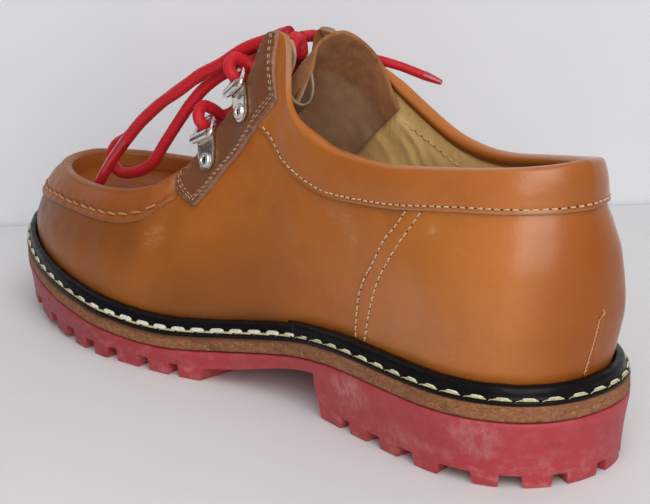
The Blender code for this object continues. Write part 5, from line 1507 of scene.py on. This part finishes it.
RUBBER = rubber_paint()
NOTCHES = (  # distance from the back of the heel along the inner edge, along the outer edge, width, depth
    (-4.1, None, 4.2, 4.0), (14.0, 22.0, 5.0, 4.0), (31.0, 38.5, 6.8, 4.0), (50.8, 56.5, 11.4, 4.0), (72.4, 75.5, 7.4, 4.0), (89.0, 90.5, 6.6, 4.0),
    (104.6, 105.0, 5.2, 4.0), (187.6, 187.0, 4.0, 4.6), (201.9, 202.0, 4.6, 4.6), (218.0, 218.5, 4.8, 4.6), (232.0, 233.5, 5.8, 4.6), (246.6, 248.5, 6.2, 4.6),
    (262.4, 264.0, 5.8, 4.6), (281.6, 281.5, 7.4, 4.6), (299.0, 299.0, 6.4, 4.6), (317.0, 317.0, 6.4, 4.6), (335.0, 335.0, 6.4, 4.6),
)


def sole_bottom(x):
    x = np.asarray(x, float)
    arch = rubber_top(x) - ARCH_RUBBER - ARCH_GAIN * ease(105.0, 148.0, x)
    up = np.clip((x - BREAST) / BREAST_RAKE, 0, 1)
    down = np.clip((x - (TREAD_REAR - 1.5)) / 1.5, 0, 1)
    return np.where(x < TREAD_REAR - 1.5, arch * up, arch * (1 - down) + tread(x) * down)


def block(centre, along_v, across_v, z0, z1, flare=1.0):
    c, a, b = (np.asarray(v, float) for v in (centre, along_v, across_v))
    v = [np.append(c + i * a * f + j * b, z) for z, f in ((z0, flare), (z1, 1.0)) for i, j in ((-1, -1), (1, -1), (1, 1), (-1, 1))]
    return np.array(v), [[0, 1, 2, 3], [4, 5, 6, 7]] + [[k, (k + 1) % 4, 4 + (k + 1) % 4, 4 + k] for k in range(4)]


def notch(side, r, width, depth):
    e, n = on_run(side, r), on_run(side, r + 1.5) - on_run(side, r - 1.5)
    n = np.array([-n[1], n[0]]) * side / np.linalg.norm(n)
    t = np.array([n[1], -n[0]])
    reach = LUG_REACH + 6.0
    z = float(tread(e[0]))
    return block(e - n * (reach / 2 - 4.0), t * width / 2, n * reach / 2, z - 6.0, z + depth, 1.4)


def recess(x0, x1, depth, n):
    st = np.linspace(x0, x1, n)
    rows = []
    for lift in (-6.0, None):
        for side in (1, -1):
            e, nn = edge(side, st)
            p = e - nn * LUG_REACH
            p[:, 0] = st
            z = tread(st) + depth if lift is None else np.full(n, lift)
            rows.append(np.concatenate([p, z[:, None]], -1))
    faces = []
    for a, b in ((0, 1), (1, 3), (3, 2), (2, 0)):
        faces += [[a * n + i, a * n + i + 1, b * n + i + 1, b * n + i] for i in range(n - 1)]
    return np.concatenate(rows), faces + [[0, n, 3 * n, 2 * n], [n - 1, 2 * n - 1, 4 * n - 1, 3 * n - 1]]


def cross_lug(x, y, long, wide, depth):
    z = float(tread(x))
    p = []
    for i, j in ((1, 1), (-1, 1), (-1, -1), (1, -1)):
        arms = [(long * i, wide * j), (wide * i, wide * j), (wide * i, long * j)]
        p += arms if i * j > 0 else arms[::-1]
    n = len(p)
    v = [(x + a, y + b, h) for h in (z, z + depth + 0.8) for a, b in p]
    return np.array(v), [list(range(n)), list(range(n, 2 * n))] + [[k, (k + 1) % n, n + (k + 1) % n, n + k] for k in range(n)]


def plain(name, verts, faces):
    me = bpy.data.meshes.new(name)
    me.from_pydata(put(verts).tolist(), [], faces)
    bm = bmesh.new()
    bm.from_mesh(me)
    bmesh.ops.recalc_face_normals(bm, faces=bm.faces)
    bm.to_mesh(me)
    bm.free()
    ob = bpy.data.objects.new(name, me)
    scene.collection.objects.link(ob)
    return ob


def outsole():
    base = mirror_stations(190)
    marks = [BREAST, BREAST + BREAST_RAKE, TREAD_REAR - 1.5, TREAD_REAR]
    _, x = station_of(base[:190])
    x = np.unique(np.concatenate([[v for v in x if min(abs(v - m) for m in marks) > 0.8], marks]))
    q = np.concatenate([np.interp(x, SIDES[1][0], SIDES[1][2]), LOOP - np.interp(x[-2:0:-1], SIDES[-1][0], SIDES[-1][2])])
    st = np.concatenate([x, x[-2:0:-1]])
    e, n = edge_at(q)
    top, low = rubber_top(st), sole_bottom(st)
    draw = SOLE_TAPER * np.clip((top - low) / HEEL_HEIGHT, 0.35, 1.0)
    rings = []
    for inset, high in ((0.7, 0.0), (0.22, 0.22), (0.0, 0.8), (0.02, 1.6)):
        p = e - n * inset
        rings.append(np.concatenate([p, (rubber_top(p[:, 0]) - high)[:, None]], -1))
    for share in (0.30, 0.5, 0.7, 0.88, 1.0):
        p = e - n * (draw * share + 0.35 * sin(pi * share))[:, None]
        rings.append(np.concatenate([p, ((top - 1.6) * (1 - share) + low * share)[:, None]], -1))
    m, c = len(rings), len(q)
    faces = net(m, c, wrap_c=True)
    for k in (0, m - 1):
        faces += cap([k * c + i for i in range(c)])
    body = plain("lugged_outsole", np.concatenate(rings), faces)
    cuts = [recess(20.0, 84.0, HEEL_NOTCH, 16), recess(166.0, 274.0, FOREFOOT_NOTCH, 24)]
    notches = [notch(side, r, w, d) for a, b, w, d in NOTCHES for side, r in ((1, a), (-1, b)) if r is not None]
    lugs = [cross_lug(x, float(swing(x)), 8.0, 3.4, HEEL_NOTCH) for x in (36.0, 62.0)]
    lugs += [cross_lug(x, float(swing(x)) + d, 7.6, 3.2, FOREFOOT_NOTCH) for x, d in
             ((182.0, -16.0), (182.0, 16.0), (204.0, 0.0), (226.0, -16.0), (226.0, 16.0), (248.0, 0.0))]
    tools = []
    for how, name, solids in (("DIFFERENCE", "recess_cut", cuts), ("DIFFERENCE", "notch_cut", notches), ("UNION", "centre_lugs", lugs)):
        tool = plain(name, *merge(solids))
        mod = body.modifiers.new(name, "BOOLEAN")
        mod.operation, mod.solver, mod.object = how, "EXACT", tool
        tools.append(tool)
    round_off = body.modifiers.new("round_off", "BEVEL")
    round_off.width, round_off.segments, round_off.limit_method, round_off.angle_limit = 0.00045, 2, "ANGLE", np.radians(42)
    mesh = bpy.data.meshes.new_from_object(body.evaluated_get(bpy.context.evaluated_depsgraph_get()))
    body.modifiers.clear()
    body.data = mesh
    for tool in tools:
        bpy.data.objects.remove(tool, do_unlink=True)
    mesh.materials.clear()
    mesh.materials.append(RUBBER)
    dress(body, "outsole", 35)


outsole()


# ---------------------------------------------------------------- insole
def insole():
    q = mirror_stations(150)
    p = skin(q, np.zeros(len(q)), np.full(len(q), -2.75))
    n = len(q) // 2
    a, b = p[:n + 1], np.concatenate([p[:1], p[:n - 1:-1]])
    f = np.linspace(0, 1, 30)
    g = a[:, None] + (b - a)[:, None] * f[None, :, None]
    wide = np.linalg.norm(b - a, axis=1)
    d = np.minimum(f, 1 - f)[None] * wide[:, None]
    dish = -0.5 * np.sin(pi * f)[None] + 0.12 * wave(g, 20.0, 91) - 0.35 * np.exp(-(d / 0.6) ** 2)
    z = midsole_top(g[..., 0]) + GAP
    top, low = g.copy(), g.copy()
    top[..., 2] = z + 2.6 + dish
    low[..., 2] = z + 0.05
    v, faces = shell(top, low)
    # painted shade: darker toward the front, deeper under the upper
    dark = (0.3 + 0.4 * ease(60, 150, g[..., 0])).ravel()
    piece("sock_insole", v, faces, LINING, "insole", "insole", {"burnish_and_shade": np.concatenate([dark, dark])}, 50)


insole()


# ---------------------------------------------------------------- clips, rings and rivets
def metal_paint():
    p = Paint("nickel", Metallic=1.0)
    c = p.mix(p.span(p.noise(3, 3, 0.6), 0.4, 0.7), (0.84, 0.81, 0.77), (0.70, 0.66, 0.61))
    p.set("Base Color", p.mix(p.span(p.noise(0.8, 3, 0.7), 0.60, 0.76, 0.0, 0.35), c, (0.40, 0.35, 0.30)))
    p.set("Roughness", p.span(p.noise(2, 3), 0.3, 0.7, 0.16, 0.30))
    n = p.bump(p.noise(2.4, 2), 0.05)
    p.set("Normal", p.bump(p.noise(0.3, 2, 0.6, (1, 1, 0.2)), 0.006, n))
    return p.mat


NICKEL = metal_paint()


def clip(pair, side):
    """Folded plate: round end under the rivet, rolled over the ring's straight bar."""
    tag = f"{pair}_{'medial' if side > 0 else 'lateral'}"
    fr = SEATS[pair, side]
    bore = WIRE / 2 + 0.3
    s = np.concatenate([[-3.75, -3.72, -3.6, -3.3, -2.8, -2.1, -1.2, 0.0], np.linspace(1.2, FOLD_AT - 0.8, 9)])
    lo = [(v, 0.0) for v in s]
    hi = [(v, CLIP_SHEET) for v in s]
    half = [np.sqrt(max(0.0, 3.75 ** 2 - v * v)) if v < 0 else 3.75 + 0.75 * ease(0, 4, v) for v in s]
    for k in range(20):
        a = -pi / 2 + pi * 1.25 * (k + 1) / 20
        hi.append((FOLD_AT + bore * cos(a), BAR + bore * sin(a)))
        lo.append((FOLD_AT + (bore + CLIP_SHEET) * cos(a), BAR + (bore + CLIP_SHEET) * sin(a)))
        half.append(4.5)
    lo, hi, half = np.array(lo), np.array(hi), np.maximum(np.array(half), 0.25)
    across = np.concatenate([[-1, -0.97, -0.9], np.linspace(-0.75, 0.75, 7), [0.9, 0.97, 1]])
    soft = 1 - 0.30 * np.clip((np.abs(across) - 0.88) / 0.12, 0, 1) ** 2
    mid = (lo + hi) / 2

    def sheet(edge_pts):
        v = mid[:, None] + (edge_pts - mid)[:, None] * soft[None, :, None]
        w = half[:, None] * across[None]
        return np.stack([v[..., 0], w, v[..., 1]], -1)
    v, f = shell(sheet(hi), sheet(lo))
    piece(f"ring_clip_{tag}", place(fr, v), f, NICKEL, f"clip_{tag}", "metal", angle=40)
    # ring
    straight = [(FOLD_AT, RING_WIDTH / 2 * (1 - 2 * k / 16), BAR) for k in range(17)]
    bow = [(FOLD_AT + RING_DEPTH * cos(RING_TILT) * sin(pi * k / 40), -RING_WIDTH / 2 * cos(pi * k / 40),
            BAR - RING_DEPTH * sin(RING_TILT) * sin(pi * k / 40)) for k in range(1, 40)]
    wire = np.array(straight + bow)
    for _ in range(2):
        wire = 0.5 * wire + 0.25 * (np.roll(wire, 1, 0) + np.roll(wire, -1, 0))
    t = np.roll(wire, -1, 0) - np.roll(wire, 1, 0)
    t /= np.linalg.norm(t, axis=1, keepdims=True)
    u = np.cross(t, [0.0, 0.0, 1.0])
    u /= np.linalg.norm(u, axis=1, keepdims=True)
    w = np.cross(u, t)
    a = 2 * pi * np.arange(16) / 16
    v = wire[:, None] + WIRE / 2 * (np.cos(a)[None, :, None] * u[:, None] + np.sin(a)[None, :, None] * w[:, None])
    piece(f"lace_ring_{tag}", place(fr, v.reshape(-1, 3)), net(len(wire), 16, True, True), NICKEL, f"d_ring_{tag}", "metal")
    # hollow rivet: a rolled collar round a well, near black with painted shade
    z0 = CLIP_SHEET + 0.02
    prof = [(1.15, z0 - 0.5), (1.15, z0 + 0.35), (1.25, z0 + 0.85), (1.5, z0 + 1.18), (1.9, z0 + 1.32), (2.3, z0 + 1.2), (2.65, z0 + 0.85), (2.85, z0 + 0.4), (2.9, z0)]
    prof = np.array(prof + [(2.0, z0 - 0.3)])
    k = 40
    a = 2 * pi * np.arange(k) / k
    v = np.stack([prof[:, :1] * np.cos(a), prof[:, :1] * np.sin(a), np.repeat(prof[:, 1:], k, 1)], -1)
    piece(f"hollow_rivet_{tag}", place(fr, v.reshape(-1, 3)), net(len(prof), k, True, True), NICKEL, f"rivet_{tag}", "metal", angle=50)
    well = np.array([(1.2 * cos(b), 1.2 * sin(b), z0 + 0.15) for b in a[::2]] + [(0, 0, z0 - 0.3)])
    m = len(a[::2])
    piece(f"rivet_well_shade_{tag}", place(fr, well), [[i, (i + 1) % m, m] for i in range(m)] + [list(range(m))], HOLE_SHADE, slot="metal")


for pair, _, _ in RINGS:
    for side in (1, -1):
        clip(pair, side)


# ---------------------------------------------------------------- floor, wall and light
def stage_paint(name, colour, dirty, painted_glow=0.0):
    p = Paint(name, Roughness=0.85, Specular_IOR_Level=0.15, Emission_Color=(0.96, 0.97, 1.0), Emission_Strength=painted_glow)
    p.set("Base Color", p.mix(p.span(p.noise(160, 3, 0.6), 0.35, 0.7), colour, dirty))
    p.set("Normal", p.bump(p.noise(6, 3, 0.6), 0.02))
    return p.mat


def flat_piece(name, corners, material):
    me = bpy.data.meshes.new(name)
    me.from_pydata(put(corners).tolist(), [], [[0, 1, 2, 3]])
    me.materials.append(material)
    ob = bpy.data.objects.new(name, me)
    scene.collection.objects.link(ob)
    return ob


def backdrop():
    a, b = np.array([199.3, -257.7]), np.array([380.1, -19.3])
    d = (b - a) / np.linalg.norm(b - a)
    n = np.array([-d[1], d[0]])
    n = n if n @ (np.array([129.0, 0.0]) - a) > 0 else -n
    far, near = a - d * 1100, b + d * 260
    floor = [(*far, -0.2), (*near, -0.2), (*(near + n * 1100), -0.2), (*(far + n * 1100), -0.2)]
    flat_piece("floor", floor, stage_paint("floor_white", (0.755, 0.75, 0.755), (0.725, 0.72, 0.725)))
    far, near = far - n * 1.2, near - n * 1.2
    wall_c = [(*far, -6.0), (*near, -6.0), (*near, 1500.0), (*far, 1500.0)]
    # the wall glows faintly: painted light that washes out shadows on it
    flat_piece("wall", wall_c, stage_paint("wall_white", (0.74, 0.745, 0.77), (0.71, 0.715, 0.74), 0.02))


def lamp(name, spot, aim, size, power, colour):
    data = bpy.data.lights.new(name, "AREA")
    data.shape, data.size, data.size_y, data.energy, data.color = "RECTANGLE", size[0], size[1], power, colour
    ob = bpy.data.objects.new(name, data)
    p, a = put(spot), put(aim)
    z = (p - a) / np.linalg.norm(p - a)
    x = np.cross([0, 0, 1.0], z)
    x /= np.linalg.norm(x)
    y = np.cross(z, x)
    ob.matrix_world = Matrix([[x[k], y[k], z[k], p[k]] for k in range(3)] + [[0, 0, 0, 1]])
    scene.collection.objects.link(ob)


backdrop()
lamp("window", (-880.0, 660.0, 600.0), (90.0, 0.0, 60.0), (1.1, 0.8), 9.5, (1.0, 0.985, 0.96))
lamp("ceiling", (-520.0, 420.0, 1100.0), (90.0, 0.0, 60.0), (1.2, 1.0), 5.5, (1.0, 0.99, 0.97))


def surround():
    """Soft light all round, strongest from above the heel and weak from the toe end."""
    w = bpy.data.worlds.new("surround")
    w.use_nodes = True
    tree = w.node_tree
    back = tree.nodes["Background"]
    place = tree.nodes.new("ShaderNodeTexCoord")
    dot = tree.nodes.new("ShaderNodeVectorMath")
    dot.operation = "DOT_PRODUCT"
    d = np.array([-0.62, 0.34, 0.70])
    dot.inputs[1].default_value = (d / np.linalg.norm(d)).tolist()
    span = tree.nodes.new("ShaderNodeMapRange")
    span.interpolation_type = "SMOOTHSTEP"
    for key, v in (("From Min", -0.35), ("From Max", 0.95), ("To Min", 0.07), ("To Max", 0.42)):
        span.inputs[key].default_value = v
    tree.links.new(place.outputs["Generated"], dot.inputs[0])
    tree.links.new(dot.outputs["Value"], span.inputs["Value"])
    tree.links.new(span.outputs[0], back.inputs[1])
    back.inputs[0].default_value = (0.95, 0.96, 1.0, 1.0)
    return w


world = surround()
scene.world = world
scene.view_settings.view_transform = "Standard"
